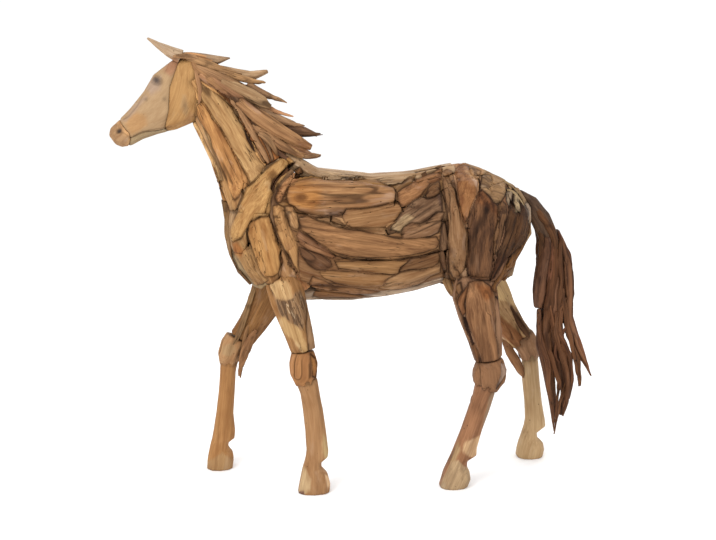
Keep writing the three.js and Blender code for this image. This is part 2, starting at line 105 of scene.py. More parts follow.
class HorseColours(bpy.types.PropertyGroup):
    """The light and the dark colour of each kind of wood"""

    tan_light: colour("Tan light", (0.56, 0.33, 0.155))
    tan_dark: colour("Tan dark", (0.27, 0.125, 0.048))
    orange_light: colour("Orange light", (0.50, 0.245, 0.085))
    orange_dark: colour("Orange dark", (0.21, 0.082, 0.026))
    brown_light: colour("Brown light", (0.34, 0.175, 0.085))
    brown_dark: colour("Brown dark", (0.11, 0.048, 0.022))
    dark_light: colour("Dark light", (0.19, 0.092, 0.047))
    dark_dark: colour("Dark dark", (0.042, 0.019, 0.011))
    pale_light: colour("Pale light", (0.68, 0.45, 0.24))
    pale_dark: colour("Pale dark", (0.36, 0.195, 0.085))
    grey_light: colour("Grey light", (0.36, 0.235, 0.15))
    grey_dark: colour("Grey dark", (0.12, 0.066, 0.038))


def sizes():
    return bpy.context.scene.horse_sizes


def colours():
    return bpy.context.scene.horse_colours


# ---------------------------------------------------------------- noise
def lattice(ix, iy, iz, seed):
    """An even random number from -1 to 1 for each corner of a grid."""
    h = (ix * 374761393 + iy * 668265263 + iz * 1440662683 + seed * 1274126177) & 0xFFFFFFFF
    h = ((h ^ (h >> 13)) * 1274126177) & 0xFFFFFFFF
    return ((h ^ (h >> 16)) & 0xFFFF) / 32767.5 - 1.0


def noise(points, seed):
    """Smooth noise from -1 to 1 at each row of points."""
    cell = np.floor(points).astype(np.int64)
    f = points - cell
    f = f * f * (3.0 - 2.0 * f)
    total = np.zeros(len(points))
    for dx in (0, 1):
        wx = f[:, 0] if dx else 1.0 - f[:, 0]
        for dy in (0, 1):
            wy = f[:, 1] if dy else 1.0 - f[:, 1]
            for dz in (0, 1):
                wz = f[:, 2] if dz else 1.0 - f[:, 2]
                corner = lattice(cell[:, 0] + dx, cell[:, 1] + dy, cell[:, 2] + dz, seed)
                total += corner * wx * wy * wz
    return total


def smoothstep(low, high, x):
    t = np.clip((x - low) / (high - low), 0.0, 1.0)
    return t * t * (3.0 - 2.0 * t)


# ---------------------------------------------------------------- meshes
def link(name, mesh):
    obj = bpy.data.objects.new(name, mesh)
    bpy.context.scene.collection.objects.link(obj)
    return obj


def settled(obj):
    """The object's mesh with its modifiers applied, as a plain mesh; the object goes."""
    bpy.context.view_layer.update()
    shown = obj.evaluated_get(bpy.context.evaluated_depsgraph_get())
    mesh = bpy.data.meshes.new_from_object(shown)
    data = obj.data
    bpy.data.objects.remove(obj)
    if data.users == 0 and isinstance(data, bpy.types.Mesh):
        bpy.data.meshes.remove(data)
    return mesh


WELD_REACH = 0.00002  # metres


def welded(node):
    """A copy of a frame node's loose triangles, joined into one skin."""
    obj = link("weld", frame["nodes"][node].data.copy())
    obj.data.materials.clear()
    weld = obj.modifiers.new("weld", "WELD")
    weld.merge_threshold = WELD_REACH
    return settled(obj)


def read(mesh, name="co"):
    flat = np.empty(len(mesh.vertices) * 3)
    if name == "normal":
        mesh.vertex_normals.foreach_get("vector", flat)
    else:
        mesh.vertices.foreach_get("co", flat)
    return flat.reshape(-1, 3)


def write(mesh, points):
    mesh.vertices.foreach_set("co", points.astype(np.float32).ravel())
    mesh.update()


def mark(mesh, name, values, kind="FLOAT"):
    field = mesh.attributes.get(name) or mesh.attributes.new(name, kind, "POINT")
    key = {"FLOAT": "value", "FLOAT_VECTOR": "vector", "FLOAT_COLOR": "color"}[kind]
    field.data.foreach_set(key, np.ascontiguousarray(values, dtype=np.float32).ravel())


AXIS_SAMPLES = 4000  # points enough to find a piece's long way


def grain_of(points, turn=None):
    """Coordinates in the piece's own grain: along its bent centre line, and across it twice.
    Also the direction of the grain at each point, and how far along it lies, from 0 to 1."""
    centre = points.mean(0)
    some = (points - centre)[:: max(1, len(points) // AXIS_SAMPLES)]
    axes = np.linalg.svd(some, full_matrices=False)[2]
    if turn is not None:
        axes = np.array(turn, float)
    t = (points - centre) @ axes[0]
    low, high = t.min(), t.max()
    u = 2.0 * (t - low) / (high - low) - 1.0
    bend = [polynomial.polyfit(u, points[:, k], 3) for k in range(3)]
    line = np.stack([polynomial.polyval(u, c) for c in bend], 1)
    slope = np.stack([polynomial.polyval(u, polynomial.polyder(c)) for c in bend], 1)
    along = slope / np.linalg.norm(slope, axis=1)[:, None]
    side = axes[1] - along * (along @ axes[1])[:, None]
    side /= np.linalg.norm(side, axis=1)[:, None]
    third = np.cross(along, side)
    away = points - line
    fields = np.stack([t, (away * side).sum(1), (away * third).sum(1)], 1)
    return fields, along, (u + 1.0) / 2.0


KNOT_SHAPE = (1.5, 1.0, 1.0)  # longer along the grain
KNOT_SPREAD = (0.6, 1.3)


def knots_of(grain, count, seed, reach):
    """How near each point is to one of a few knots, from 0 to 1."""
    near = np.zeros(len(grain))
    rng = np.random.default_rng(seed)
    picks = grain[rng.integers(0, len(grain), count)]
    for pick in picks:
        size = reach * rng.uniform(*KNOT_SPREAD)
        away = np.linalg.norm((grain - pick) / np.array(KNOT_SHAPE), axis=1)
        near = np.maximum(near, np.clip(1.0 - away / size, 0.0, 1.0))
    return near


def finish_of(node):
    """How a piece weathers: the strength of each kind of wear, its knots, the passes that smooth
    its skin, how plain its colour is, how far its skin is pushed out in metres, and the strength
    of the joints round it."""
    base = dict(swell=0.8, flute=0.9, split=0.6, fray=0.8, knots=1, smooth=7, calm=0.0, full=0.0011,
                joint=1.0)
    base.update(FINISH.get(node, {}))
    return base


SMOOTH_CARVED = dict(swell=0.35, flute=0.25, split=0.12, fray=0.0, knots=1, smooth=9, calm=0.32,
                     joint=0.5)
EAR = dict(SMOOTH_CARVED, knots=0, smooth=3, flute=0.7)
KNEE = dict(SMOOTH_CARVED, swell=1.0, flute=0.6, split=0.5, joint=0.35)
HOCK = dict(KNEE, flute=0.8, split=0.6)
ROOT = dict(swell=1.4, flute=1.5, split=0.5, fray=0.6, knots=1, smooth=5, full=0.0012)
SHARD = dict(swell=0.8, flute=1.2, split=0.5, fray=0.0, knots=1, smooth=3, full=0.0006)
FINISH = {
    "face": dict(SMOOTH_CARVED, knots=0, smooth=10, calm=0.55, joint=0.38),
    "cheek_left": dict(SMOOTH_CARVED, smooth=6, calm=0.35, joint=0.38),
    "lower_jaw": dict(SMOOTH_CARVED, knots=0, smooth=5, calm=0.3, joint=0.25),
    "muzzle": dict(SMOOTH_CARVED, knots=0, smooth=8, calm=0.3, joint=0.0),
    "ear_left": dict(EAR, joint=0.2, full=-0.0015),
    "ear_right": dict(EAR, joint=0.0, full=0.0015),
    "knee_left": dict(KNEE, joint=0.2, knots=0),
    "knee_right": KNEE,
    "hock_left": dict(HOCK, joint=0.1, knots=0, full=0.0045),
    "hock_right": HOCK,
    "fore_cannon_and_hoof_left": dict(SMOOTH_CARVED, knots=0),
    "fore_cannon_and_hoof_right": SMOOTH_CARVED,
    "hind_cannon_and_hoof_left": dict(SMOOTH_CARVED, split=0.3),
    "hind_cannon_and_hoof_right": SMOOTH_CARVED,
    "gaskin_left": dict(flute=0.6, split=0.3, joint=0.15, full=0.0040),
    "forearm_left": dict(flute=0.6, split=0.3, joint=0.4),
    "thigh_left": dict(joint=0.55),
    "hamstring_left": dict(joint=0.75),
    "shoulder_left": dict(flute=0.6, split=0.3),
    "shoulder_blade_left": dict(flute=0.7, split=0.4),
    **{node: ROOT for node in frame["nodes"] if node.startswith("tail_")},
    **{node: SHARD for node in frame["nodes"] if node.startswith("mane_")},
}


# ---------------------------------------------------------------- planks, patches and colours
# A row of PLANKS: the pieces or regions it may lie on, its colour over brown wood, how far it
# stands out in millimetres, and its outline as (x, z) in millimetres, seen from the left.
PLANKS = [
    ("neck throat_strip", (2.7, 3.31, 3.02), 0.5,
     [(-502, 1111), (-484, 1130), (-467, 1100), (-450, 1071), (-439, 1030), (-423, 983),
      (-412, 941), (-423, 933), (-440, 986), (-462, 1028), (-479, 1075)]),
    ("neck throat_strip shoulder", (1.68, 1.62, 1.17), 1.5,
     [(-472, 1176), (-455, 1159), (-438, 1124), (-415, 1095), (-398, 1066), (-382, 1031),
      (-365, 996), (-342, 956), (-337, 933), (-355, 916), (-367, 899), (-379, 886), (-390, 908),
      (-400, 942), (-417, 989), (-439, 1036), (-450, 1071), (-467, 1100), (-484, 1130),
      (-483, 1159)]),
    ("neck shoulder", (1.6, 1.82, 1.54), 1.0,
     [(-482, 1234), (-448, 1211), (-419, 1193), (-396, 1176), (-374, 1147), (-362, 1124),
      (-345, 1089), (-334, 1060), (-317, 1025), (-300, 1001), (-283, 984), (-295, 967),
      (-319, 944), (-331, 933), (-342, 956), (-365, 996), (-382, 1031), (-398, 1066), (-415, 1095),
      (-438, 1124), (-455, 1159), (-471, 1182), (-477, 1205)]),
    ("neck", (1.59, 1.71, 1.65), 0.5,
     [(-402, 1193), (-373, 1181), (-350, 1153), (-333, 1123), (-316, 1094), (-299, 1059),
      (-282, 1024), (-271, 995), (-277, 989), (-294, 1001), (-311, 1036), (-328, 1071),
      (-351, 1112), (-362, 1135), (-385, 1170)]),
    ("neck", (1.65, 1.68, 1.68), 1.2,
     [(-492, 1290), (-458, 1268), (-429, 1256), (-407, 1234), (-378, 1199), (-356, 1182),
      (-367, 1175), (-396, 1187), (-425, 1205), (-459, 1228), (-482, 1246), (-493, 1268)]),
    ("neck", (1.09, 1.18, 1.16), 0.0,
     [(-344, 1159), (-327, 1141), (-304, 1112), (-286, 1075), (-269, 1040), (-259, 1006),
      (-265, 995), (-276, 1024), (-293, 1065), (-316, 1100), (-333, 1129)]),
    ("shoulder neck trunk chest", (1.73, 1.89, 1.42), 2.5,
     [(-198, 996), (-215, 1008), (-240, 1004), (-271, 989), (-295, 967), (-319, 944), (-343, 927),
      (-355, 899), (-368, 870), (-379, 839), (-391, 801), (-392, 765), (-386, 762), (-364, 778),
      (-346, 809), (-335, 827), (-311, 846), (-282, 845), (-276, 861), (-274, 894), (-262, 922),
      (-243, 943), (-218, 970)]),
    ("shoulder", (1.55, 1.56, 1.1), 3.5,
     [(-340, 821), (-329, 833), (-306, 846), (-282, 845), (-271, 822), (-266, 798), (-260, 769),
      (-249, 745), (-249, 710), (-255, 680), (-273, 668), (-296, 668), (-308, 686), (-319, 716),
      (-330, 746), (-335, 774), (-341, 797)]),
    ("shoulder chest", (1.26, 1.36, 1.09), 1.5,
     [(-392, 765), (-386, 762), (-364, 778), (-346, 803), (-341, 768), (-330, 740), (-319, 704),
      (-302, 667), (-285, 656), (-301, 638), (-323, 631), (-347, 665), (-364, 697), (-381, 724)]),
    ("shoulder trunk", (1.63, 1.7, 1.35), 2.0,
     [(-269, 872), (-252, 878), (-235, 867), (-230, 839), (-219, 810), (-202, 773), (-196, 744),
      (-197, 709), (-196, 678), (-214, 709), (-231, 739), (-249, 769), (-260, 798), (-265, 827),
      (-270, 855)]),
    ("shoulder", (1.33, 1.38, 1.19), 0.5,
     [(-260, 781), (-243, 751), (-220, 715), (-202, 678), (-202, 654), (-227, 645), (-250, 656),
      (-255, 680), (-243, 710), (-249, 745)]),
    ("shoulder trunk", (1.69, 1.64, 1.42), 1.0,
     [(-181, 980), (-175, 961), (-196, 942), (-221, 927), (-234, 906), (-246, 884), (-258, 883),
      (-263, 900), (-251, 923), (-225, 949), (-198, 966)]),
    ("shoulder trunk", (1.49, 1.58, 1.37), 2.0,
     [(-235, 872), (-212, 872), (-201, 855), (-196, 827), (-190, 809), (-202, 804), (-219, 815),
      (-230, 839), (-235, 861)]),
    ("shoulder neck trunk", (0.35, 0.28, 0.22), -3.5,
     [(-192, 996), (-212, 975), (-242, 954), (-261, 933), (-268, 911), (-274, 922), (-267, 944),
      (-242, 965), (-216, 985)]),
    ("trunk shoulder", (1.35, 1.39, 1.22), 2.5,
     [(-228, 900), (-221, 922), (-208, 937), (-184, 942), (-148, 947), (-94, 940), (-34, 938),
      (35, 927), (90, 920), (97, 906), (95, 885), (76, 880), (34, 869), (-13, 864), (-54, 865),
      (-67, 842), (-90, 843), (-119, 843), (-143, 843), (-172, 849), (-195, 861), (-206, 872),
      (-223, 878)]),
    ("trunk", (1.14, 1.16, 1.0), 1.2,
     [(-54, 865), (-13, 864), (34, 869), (70, 880), (101, 878), (117, 868), (104, 846), (85, 823),
      (67, 806), (26, 807), (-9, 807), (-39, 808), (-56, 820), (-67, 842)]),
    ("trunk", (0.86, 0.91, 0.83), -0.5,
     [(-143, 843), (-108, 843), (-73, 831), (-56, 814), (-79, 814), (-108, 826), (-137, 832)]),
    ("trunk", (1.25, 1.17, 0.99), 1.0,
     [(101, 885), (97, 906), (124, 921), (157, 936), (204, 956), (245, 970), (246, 962),
      (233, 943), (202, 931), (181, 911), (167, 895), (142, 878), (117, 862), (101, 878)]),
    ("trunk haunch", (0.72, 0.69, 0.6), 2.5,
     [(179, 895), (193, 916), (206, 927), (225, 938), (230, 921), (226, 906), (208, 895),
      (184, 890)]),
    ("trunk", (0.71, 0.77, 0.83), 1.5,
     [(117, 862), (143, 884), (167, 895), (184, 890), (208, 895), (226, 906), (230, 878),
      (229, 849), (211, 850), (187, 827), (163, 816), (139, 822), (115, 811), (103, 794),
      (85, 800), (67, 806), (85, 823), (104, 846)]),
    ("trunk", (0.99, 1.03, 1.02), 0.8,
     [(115, 811), (139, 822), (163, 816), (193, 832), (217, 850), (235, 849), (229, 820),
      (217, 791), (193, 780), (157, 775), (109, 776), (109, 800)]),
    ("trunk shoulder", (1.07, 1.04, 0.89), 1.5,
     [(-195, 844), (-166, 844), (-137, 832), (-103, 820), (-62, 808), (-15, 802), (43, 789),
      (103, 776), (163, 775), (211, 779), (223, 761), (212, 742), (176, 731), (104, 721),
      (15, 718), (-56, 725), (-91, 737), (-120, 755), (-150, 773), (-179, 798), (-196, 809)]),
    ("trunk shoulder", (0.97, 0.91, 0.84), 1.5,
     [(-196, 804), (-179, 792), (-150, 773), (-115, 749), (-85, 725), (-97, 719), (-132, 731),
      (-167, 744), (-190, 762), (-202, 786)]),
    ("trunk shoulder", (0.55, 0.51, 0.48), -0.5,
     [(-196, 756), (-167, 744), (-132, 731), (-103, 713), (-97, 695), (-114, 682), (-143, 683),
      (-167, 702), (-185, 726)]),
    ("trunk", (1.03, 1.03, 0.82), 1.5,
     [(-91, 713), (-62, 718), (15, 711), (86, 710), (134, 709), (105, 691), (100, 671), (76, 666),
      (16, 674), (-38, 681), (-79, 688)]),
    ("trunk", (0.69, 0.67, 0.58), -0.5,
     [(134, 715), (176, 719), (219, 736), (226, 711), (222, 685), (179, 674), (130, 677),
      (100, 671), (111, 691)]),
    ("trunk", (1.06, 1.04, 0.83), 1.2,
     [(-137, 676), (-102, 682), (-37, 675), (16, 668), (88, 665), (59, 647), (56, 625), (19, 627),
      (-41, 628), (-89, 643), (-119, 657)]),
    ("trunk", (1.25, 1.35, 1.26), 0.8,
     [(65, 646), (106, 671), (148, 676), (204, 679), (227, 697), (231, 663), (201, 651),
      (169, 623), (126, 612), (84, 607), (45, 618), (62, 625)]),
    ("trunk", (1.09, 1.05, 0.93), 0.8,
     [(-155, 664), (-125, 651), (-88, 629), (-40, 621), (27, 611), (54, 601), (25, 594),
      (-37, 597), (-98, 606), (-139, 613), (-165, 637)]),
    ("trunk", (0.85, 0.76, 0.55), 0.4,
     [(-145, 613), (-98, 606), (-37, 597), (32, 585), (-4, 579), (-64, 581), (-125, 582),
      (-150, 591)]),
    ("haunch trunk", (0.96, 1.0, 0.95), 2.5,
     [(239, 957), (259, 967), (274, 962), (271, 933), (273, 900), (277, 866), (294, 826),
      (301, 789), (302, 752), (305, 708), (301, 670), (288, 648), (278, 640), (256, 662),
      (249, 722), (247, 766), (247, 814), (241, 855), (237, 900), (237, 932)]),
    ("haunch trunk", (0.65, 0.69, 0.71), 0.3,
     [(229, 826), (241, 820), (247, 766), (251, 709), (257, 655), (281, 600), (272, 585),
      (265, 593), (251, 636), (227, 697), (223, 767)]),
    ("haunch trunk", (1.03, 0.9, 0.69), 2.0,
     [(280, 963), (297, 971), (318, 976), (332, 972), (350, 966), (362, 960), (343, 932),
      (333, 899), (318, 872), (306, 837), (294, 814), (282, 849), (278, 883), (275, 922)]),
    ("haunch", (1.24, 1.43, 1.4), 1.5,
     [(360, 947), (380, 954), (407, 949), (432, 941), (443, 928), (434, 904), (421, 890),
      (407, 874), (393, 875), (375, 887), (360, 909), (349, 920)]),
    ("haunch", (1.44, 2.02, 2.61), 0.8,
     [(437, 914), (453, 903), (447, 882), (435, 856), (426, 879)]),
    ("haunch", (1.8, 2.55, 2.94), 1.0,
     [(457, 898), (479, 898), (475, 874), (468, 843), (454, 844), (452, 871)]),
    ("haunch", (1.62, 2.35, 3.33), 0.6,
     [(510, 864), (522, 846), (532, 801), (520, 787), (498, 833), (491, 859)]),
    ("haunch", (0.52, 0.47, 0.43), 1.0,
     [(340, 904), (355, 915), (376, 892), (397, 864), (396, 830), (383, 789), (385, 752),
      (386, 709), (389, 672), (377, 641), (351, 643), (315, 650), (307, 664), (305, 696),
      (309, 739), (309, 775), (300, 802), (312, 843), (325, 877)]),
    ("haunch", (0.65, 0.64, 0.6), 0.6,
     [(398, 869), (413, 879), (424, 868), (420, 823), (408, 782), (397, 734), (393, 697),
      (385, 734), (384, 783), (396, 824)]),
    ("haunch", (0.3, 0.26, 0.21), 0.8,
     [(430, 862), (447, 882), (447, 845), (468, 843), (474, 869), (491, 859), (498, 833),
      (520, 787), (507, 767), (493, 744), (460, 726), (433, 705), (408, 676), (390, 646),
      (377, 636), (382, 666), (392, 709), (408, 758), (420, 811)]),
    ("haunch", (0.67, 0.57, 0.35), 1.0,
     [(473, 738), (505, 746), (498, 705), (484, 671), (460, 634), (457, 584), (390, 605),
      (376, 618), (398, 639), (423, 673), (446, 710)]),
    ("haunch gaskin_right", (0.15, 0.13, 0.14), 0.3,
     [(457, 578), (463, 626), (480, 562), (479, 531), (452, 519), (389, 593)]),
    ("haunch", (1.01, 0.97, 0.89), 2.0,
     [(309, 638), (327, 644), (351, 643), (377, 624), (390, 599), (388, 552), (387, 511),
      (394, 450), (404, 398), (364, 396), (348, 393), (341, 432), (322, 481), (303, 530),
      (302, 586), (303, 615)]),
    ("haunch", (0.85, 0.82, 0.7), 0.5,
     [(260, 627), (276, 629), (288, 636), (292, 614), (281, 595), (277, 569), (266, 580),
      (265, 598)]),
    ("haunch", (0.99, 0.85, 0.7), 0.8,
     [(275, 583), (292, 608), (309, 638), (302, 598), (297, 573), (303, 549), (293, 535),
      (281, 565)]),
    ("haunch", (0.13, 0.1, 0.1), -2.5,
     [(293, 535), (303, 530), (317, 480), (329, 450), (323, 443), (306, 485)]),
    ("haunch", (0.6, 0.53, 0.45), 1.0,
     [(323, 443), (329, 450), (347, 420), (353, 395), (340, 377), (337, 392)]),
    ("hock_left", (1.23, 1.63, 2.4), 0.2,
     [(410, 391), (429, 377), (429, 353), (409, 331), (398, 312), (408, 357)]),
    ("knee_left", (1.27, 1.11, 0.72), 0.15,
     [(-164, 438), (-146, 419), (-140, 389), (-146, 357), (-159, 368), (-159, 399), (-165, 423)]),
    ("forearm_left", (1.27, 1.45, 1.52), 0.3,
     [(-168, 592), (-156, 591), (-157, 504), (-146, 437), (-164, 434), (-176, 508)]),
    ("forearm_right", (3.6, 3.6, 3.6), 0.5,
     [(-338, 545), (-359, 495), (-385, 446), (-399, 416), (-387, 410), (-361, 446), (-336, 491),
      (-310, 548)]),
    ("forearm_right", (3.6, 3.6, 3.6), -3.0,
     [(-310, 542), (-336, 491), (-361, 446), (-374, 409), (-362, 415), (-330, 478), (-304, 536)]),
    ("gaskin_right", (0.4, 0.53, 0.61), 0.8,
     [(452, 526), (471, 532), (501, 502), (529, 454), (556, 409), (583, 362), (569, 357),
      (536, 403), (501, 451), (467, 492)]),
    ("gaskin_right", (0.22, 0.2, 0.44), -3.0,
     [(460, 492), (494, 451), (529, 404), (555, 377), (543, 371), (516, 411), (481, 452),
      (461, 479)]),
]
# A row of PATCHES is the same, with the width of its soft edge in place of the height.
PATCHES = [
    ("head", (1.09, 1.09, 1.19), 8,
     [(-561, 1292), (-538, 1303), (-527, 1285), (-539, 1263), (-557, 1246), (-574, 1262)]),
    ("head", (1.17, 1.59, 2.25), 9,
     [(-620, 1245), (-585, 1246), (-586, 1206), (-615, 1194), (-627, 1210)]),
    ("head", (1.32, 1.47, 1.33), 8,
     [(-693, 1119), (-669, 1142), (-634, 1137), (-629, 1108), (-641, 1096), (-671, 1078),
      (-688, 1090)]),
    ("head", (1.19, 1.37, 1.4), 7,
     [(-740, 1100), (-722, 1117), (-699, 1102), (-694, 1078), (-677, 1072), (-683, 1054),
      (-702, 1041), (-730, 1054), (-741, 1076)]),
    ("head", (1.2, 1.6, 2.14), 6,
     [(-699, 1118), (-663, 1159), (-627, 1194), (-621, 1189), (-657, 1148), (-687, 1113)]),
    ("neck", (0.16, 0.13, 0.12), 2.5,
     [(-356, 1129), (-340, 1095), (-323, 1060), (-311, 1024), (-323, 1031), (-340, 1060),
      (-351, 1095)]),
    ("gaskin_right", (1.16, 1.0, 0.81), 5,
     [(395, 551), (488, 458), (528, 423), (562, 383), (562, 390), (551, 343), (521, 367),
      (415, 459), (402, 502)]),
    ("gaskin_right", (1.44, 1.65, 1.6), 4,
     [(451, 539), (479, 531), (517, 499), (551, 457), (579, 411), (562, 396), (522, 430),
      (481, 472), (453, 506)]),
    ("cheek_left", (1.46, 1.71, 1.54), 4,
     [(-523, 1194), (-512, 1194), (-507, 1153), (-513, 1130), (-524, 1142), (-530, 1166)]),
    ("cheek_left", (1.36, 1.48, 1.32), 7,
     [(-519, 1124), (-501, 1141), (-490, 1135), (-502, 1105), (-520, 1093)]),
    ("shoulder chest", (1.21, 0.96, 0.58), 7,
     [(-386, 762), (-370, 765), (-353, 743), (-359, 724), (-381, 730)]),
    ("trunk", (1.38, 1.2, 0.72), 14,
     [(-221, 922), (-185, 937), (-133, 921), (-124, 888), (-154, 854), (-194, 866), (-223, 884)]),
    ("trunk", (0.91, 0.94, 0.91), 5,
     [(-113, 860), (-89, 871), (-54, 865), (-55, 848), (-73, 837), (-102, 843)]),
    ("trunk", (1.28, 1.65, 1.77), 3,
     [(67, 806), (91, 823), (110, 840), (128, 845), (145, 834), (127, 823), (115, 811), (103, 794),
      (85, 800)]),
    ("trunk", (0.53, 0.59, 0.79), 3,
     [(214, 900), (226, 900), (229, 855), (224, 867)]),
    ("haunch trunk", (1.75, 1.95, 1.9), 3,
     [(315, 971), (354, 969), (374, 959), (343, 932), (335, 916), (324, 939), (319, 953),
      (309, 957)]),
    ("haunch", (0.22, 0.19, 0.17), 4,
     [(354, 865), (366, 859), (359, 819), (342, 801), (331, 771), (327, 728), (328, 691),
      (317, 679), (310, 733), (313, 777), (330, 813), (348, 842)]),
    ("haunch", (0.58, 0.45, 0.35), 7,
     [(340, 904), (354, 909), (375, 887), (391, 864), (396, 836), (378, 847), (360, 865),
      (331, 877)]),
    ("haunch", (0.24, 0.17, 0.12), 8,
     [(392, 709), (433, 711), (408, 676), (390, 646), (377, 641)]),
    ("haunch", (0.77, 0.56, 0.37), 9,
     [(321, 638), (377, 624), (382, 594), (355, 585), (338, 609)]),
    ("forearm_left", (1.87, 2.28, 2.12), 2.5,
     [(-279, 644), (-262, 656), (-232, 656), (-221, 639), (-216, 605), (-234, 599), (-263, 604),
      (-274, 627)]),
    ("forearm_left", (1.04, 1.17, 1.17), 3,
     [(-274, 627), (-263, 604), (-234, 599), (-216, 605), (-210, 622), (-191, 625), (-174, 594),
      (-175, 554), (-182, 532), (-188, 509), (-205, 522), (-229, 540), (-251, 550), (-263, 586)]),
    ("forearm_left", (1.74, 2.1, 1.84), 2.5,
     [(-257, 543), (-240, 552), (-229, 534), (-205, 522), (-188, 503), (-176, 466), (-169, 438),
      (-188, 442), (-206, 467), (-217, 485), (-240, 494), (-251, 512)]),
    ("knee_right", (1.38, 1.73, 1.76), 5,
     [(-417, 401), (-386, 416), (-375, 391), (-393, 372), (-418, 377)]),
    ("fore_cannon_and_hoof_left", (1.72, 2.32, 2.54), 2.5,
     [(-187, 83), (-178, 81), (-167, 53), (-168, 16), (-185, 3), (-201, 3), (-200, 54)]),
    ("fore_cannon_and_hoof_left", (2.37, 3.08, 3.6), 3,
     [(-124, 60), (-105, 44), (-105, 13), (-118, 24)]),
    ("fore_cannon_and_hoof_left", (1.61, 2.15, 2.1), 4,
     [(-129, 192), (-110, 150), (-105, 113), (-123, 103), (-130, 143)]),
    ("fore_cannon_and_hoof_left", (0.61, 0.62, 0.82), 2,
     [(-206, 3), (-185, 15), (-185, -3), (-207, -7)]),
    ("hind_cannon_and_hoof_left", (0.93, 1.14, 1.36), 3,
     [(380, 301), (400, 297), (372, 202), (360, 152), (354, 159), (363, 231)]),
    ("hind_cannon_and_hoof_left", (1.8, 2.26, 2.47), 2.5,
     [(303, 145), (327, 158), (354, 165), (354, 121), (335, 98), (315, 102), (297, 121)]),
    ("hind_cannon_and_hoof_left", (1.2, 1.52, 1.57), 3,
     [(277, 125), (287, 148), (291, 121), (272, 84), (262, 81)]),
    ("hind_cannon_and_hoof_left", (1.38, 1.85, 2.11), 2.5,
     [(262, 81), (284, 90), (303, 70), (324, 58), (335, 40), (316, -5), (265, -6), (227, -6),
      (242, 36)]),
    ("fore_cannon_and_hoof_right", (1.3, 1.48, 1.33), 4,
     [(-479, 23), (-424, 59), (-386, 32), (-387, 6), (-425, -4), (-480, -8)]),
]

# Where a piece keeps its bark.
BARK = [
    ("forearm_left",
     [(-274, 627), (-263, 604), (-234, 599), (-216, 605), (-210, 622), (-191, 625), (-174, 594),
      (-175, 554), (-182, 532), (-188, 509), (-205, 522), (-229, 540), (-251, 550), (-263, 586)]),
]

# What each piece multiplies its own wood's colour by.
TINTS = {
    "back_plank": (0.77, 0.81, 0.9),
    "barrel_broad_plank_left": (0.64, 0.67, 0.62),
    "barrel_broad_plank_right": (0.45, 0.53, 0.8),
    "barrel_grey_plank_left": (0.72, 0.6, 0.43),
    "barrel_loin_plank_left": (0.65, 0.74, 0.83),
    "barrel_long_plank_left": (1.08, 1.08, 0.89),
    "barrel_long_plank_right": (1.07, 1.04, 0.89),
    "barrel_low_plank_left": (0.49, 0.44, 0.42),
    "belly_plank": (1.54, 2.15, 2.89),
    "breast_left": (0.85, 1.25, 1.78),
    "buttock_left": (0.6, 0.52, 0.42),
    "buttock_right": (0.58, 0.52, 0.39),
    "cheek_left": (0.8, 0.79, 0.67),
    "chest": (0.6, 0.7, 0.79),
    "croup": (0.62, 0.62, 0.62),
    "ear_left": (0.84, 1.05, 1.47),
    "ear_right": (0.84, 1.05, 1.47),
    "elbow_left": (1.07, 1.03, 1.15),
    "face": (0.54, 0.55, 0.57),
    "flank_strip_left": (0.42, 0.38, 0.36),
    "fore_cannon_and_hoof_left": (0.67, 0.64, 0.63),
    "fore_cannon_and_hoof_right": (0.73, 0.65, 0.53),
    "forearm_left": (0.51, 0.4, 0.29),
    "forearm_right": (0.56, 0.56, 0.56),
    "gaskin_left": (1.05, 1.1, 1.18),
    "gaskin_right": (1.5, 2.1, 2.89),
    "girth_strip_left": (0.5, 0.49, 0.53),
    "hamstring_left": (1.62, 1.6, 1.49),
    "hind_cannon_and_hoof_left": (1.0, 0.94, 0.94),
    "hind_cannon_and_hoof_right": (0.73, 0.77, 0.78),
    "hip_wedge_left": (1.11, 1.28, 1.85),
    "hock_left": (0.82, 0.8, 0.78),
    "hock_right": (1.32, 1.44, 1.57),
    "knee_left": (0.81, 0.81, 0.9),
    "knee_right": (0.75, 0.74, 0.75),
    "lower_jaw": (0.65, 0.82, 0.99),
    "mane_forelock": (1.35, 1.73, 2.09),
    "mane_shard_1": (0.93, 1.06, 1.29),
    "mane_shard_2": (0.72, 0.79, 0.88),
    "mane_shard_3": (0.81, 0.89, 1.14),
    "mane_shard_4": (1.2, 1.25, 1.2),
    "neck_broad_plank_left": (1.41, 1.36, 1.16),
    "neck_broad_plank_right": (0.87, 0.89, 0.81),
    "neck_crest_plank_left": (1.5, 1.16, 0.72),
    "neck_long_plank_left": (1.01, 1.15, 1.28),
    "neck_long_plank_right": (1.06, 1.1, 1.13),
    "shoulder_blade_left": (0.84, 0.94, 1.06),
    "shoulder_left": (0.55, 0.49, 0.4),
    "shoulder_right": (0.94, 0.93, 0.75),
    "tail_dock": (0.85, 1.0, 1.1),
    "tail_front_root": (0.95, 0.88, 0.85),
    "tail_lower_root": (1.19, 1.1, 1.06),
    "tail_middle_root": (1.23, 1.14, 1.1),
    "tail_outer_root": (0.66, 0.52, 0.5),
    "thigh_right": (0.96, 1.0, 0.95),
    "throat_strip": (0.77, 0.67, 0.52),
}


# Words for several pieces at once in PLANKS and PATCHES.
REGIONS = {
    "neck": ["neck_long_plank_left", "neck_broad_plank_left", "neck_crest_plank_left",
             "neck_long_plank_right", "neck_broad_plank_right"],
    "shoulder": ["shoulder_left", "shoulder_blade_left", "breast_left", "elbow_left",
                 "girth_strip_left", "shoulder_right"],
    "trunk": [n for n in frame["nodes"] if n.startswith(("barrel_", "back_", "belly_"))],
    "haunch": ["flank_strip_left", "hip_wedge_left", "thigh_left", "hamstring_left",
               "buttock_left", "croup", "gaskin_left", "thigh_right", "buttock_right"],
    "head": ["face", "lower_jaw", "muzzle", "ear_left"],
}


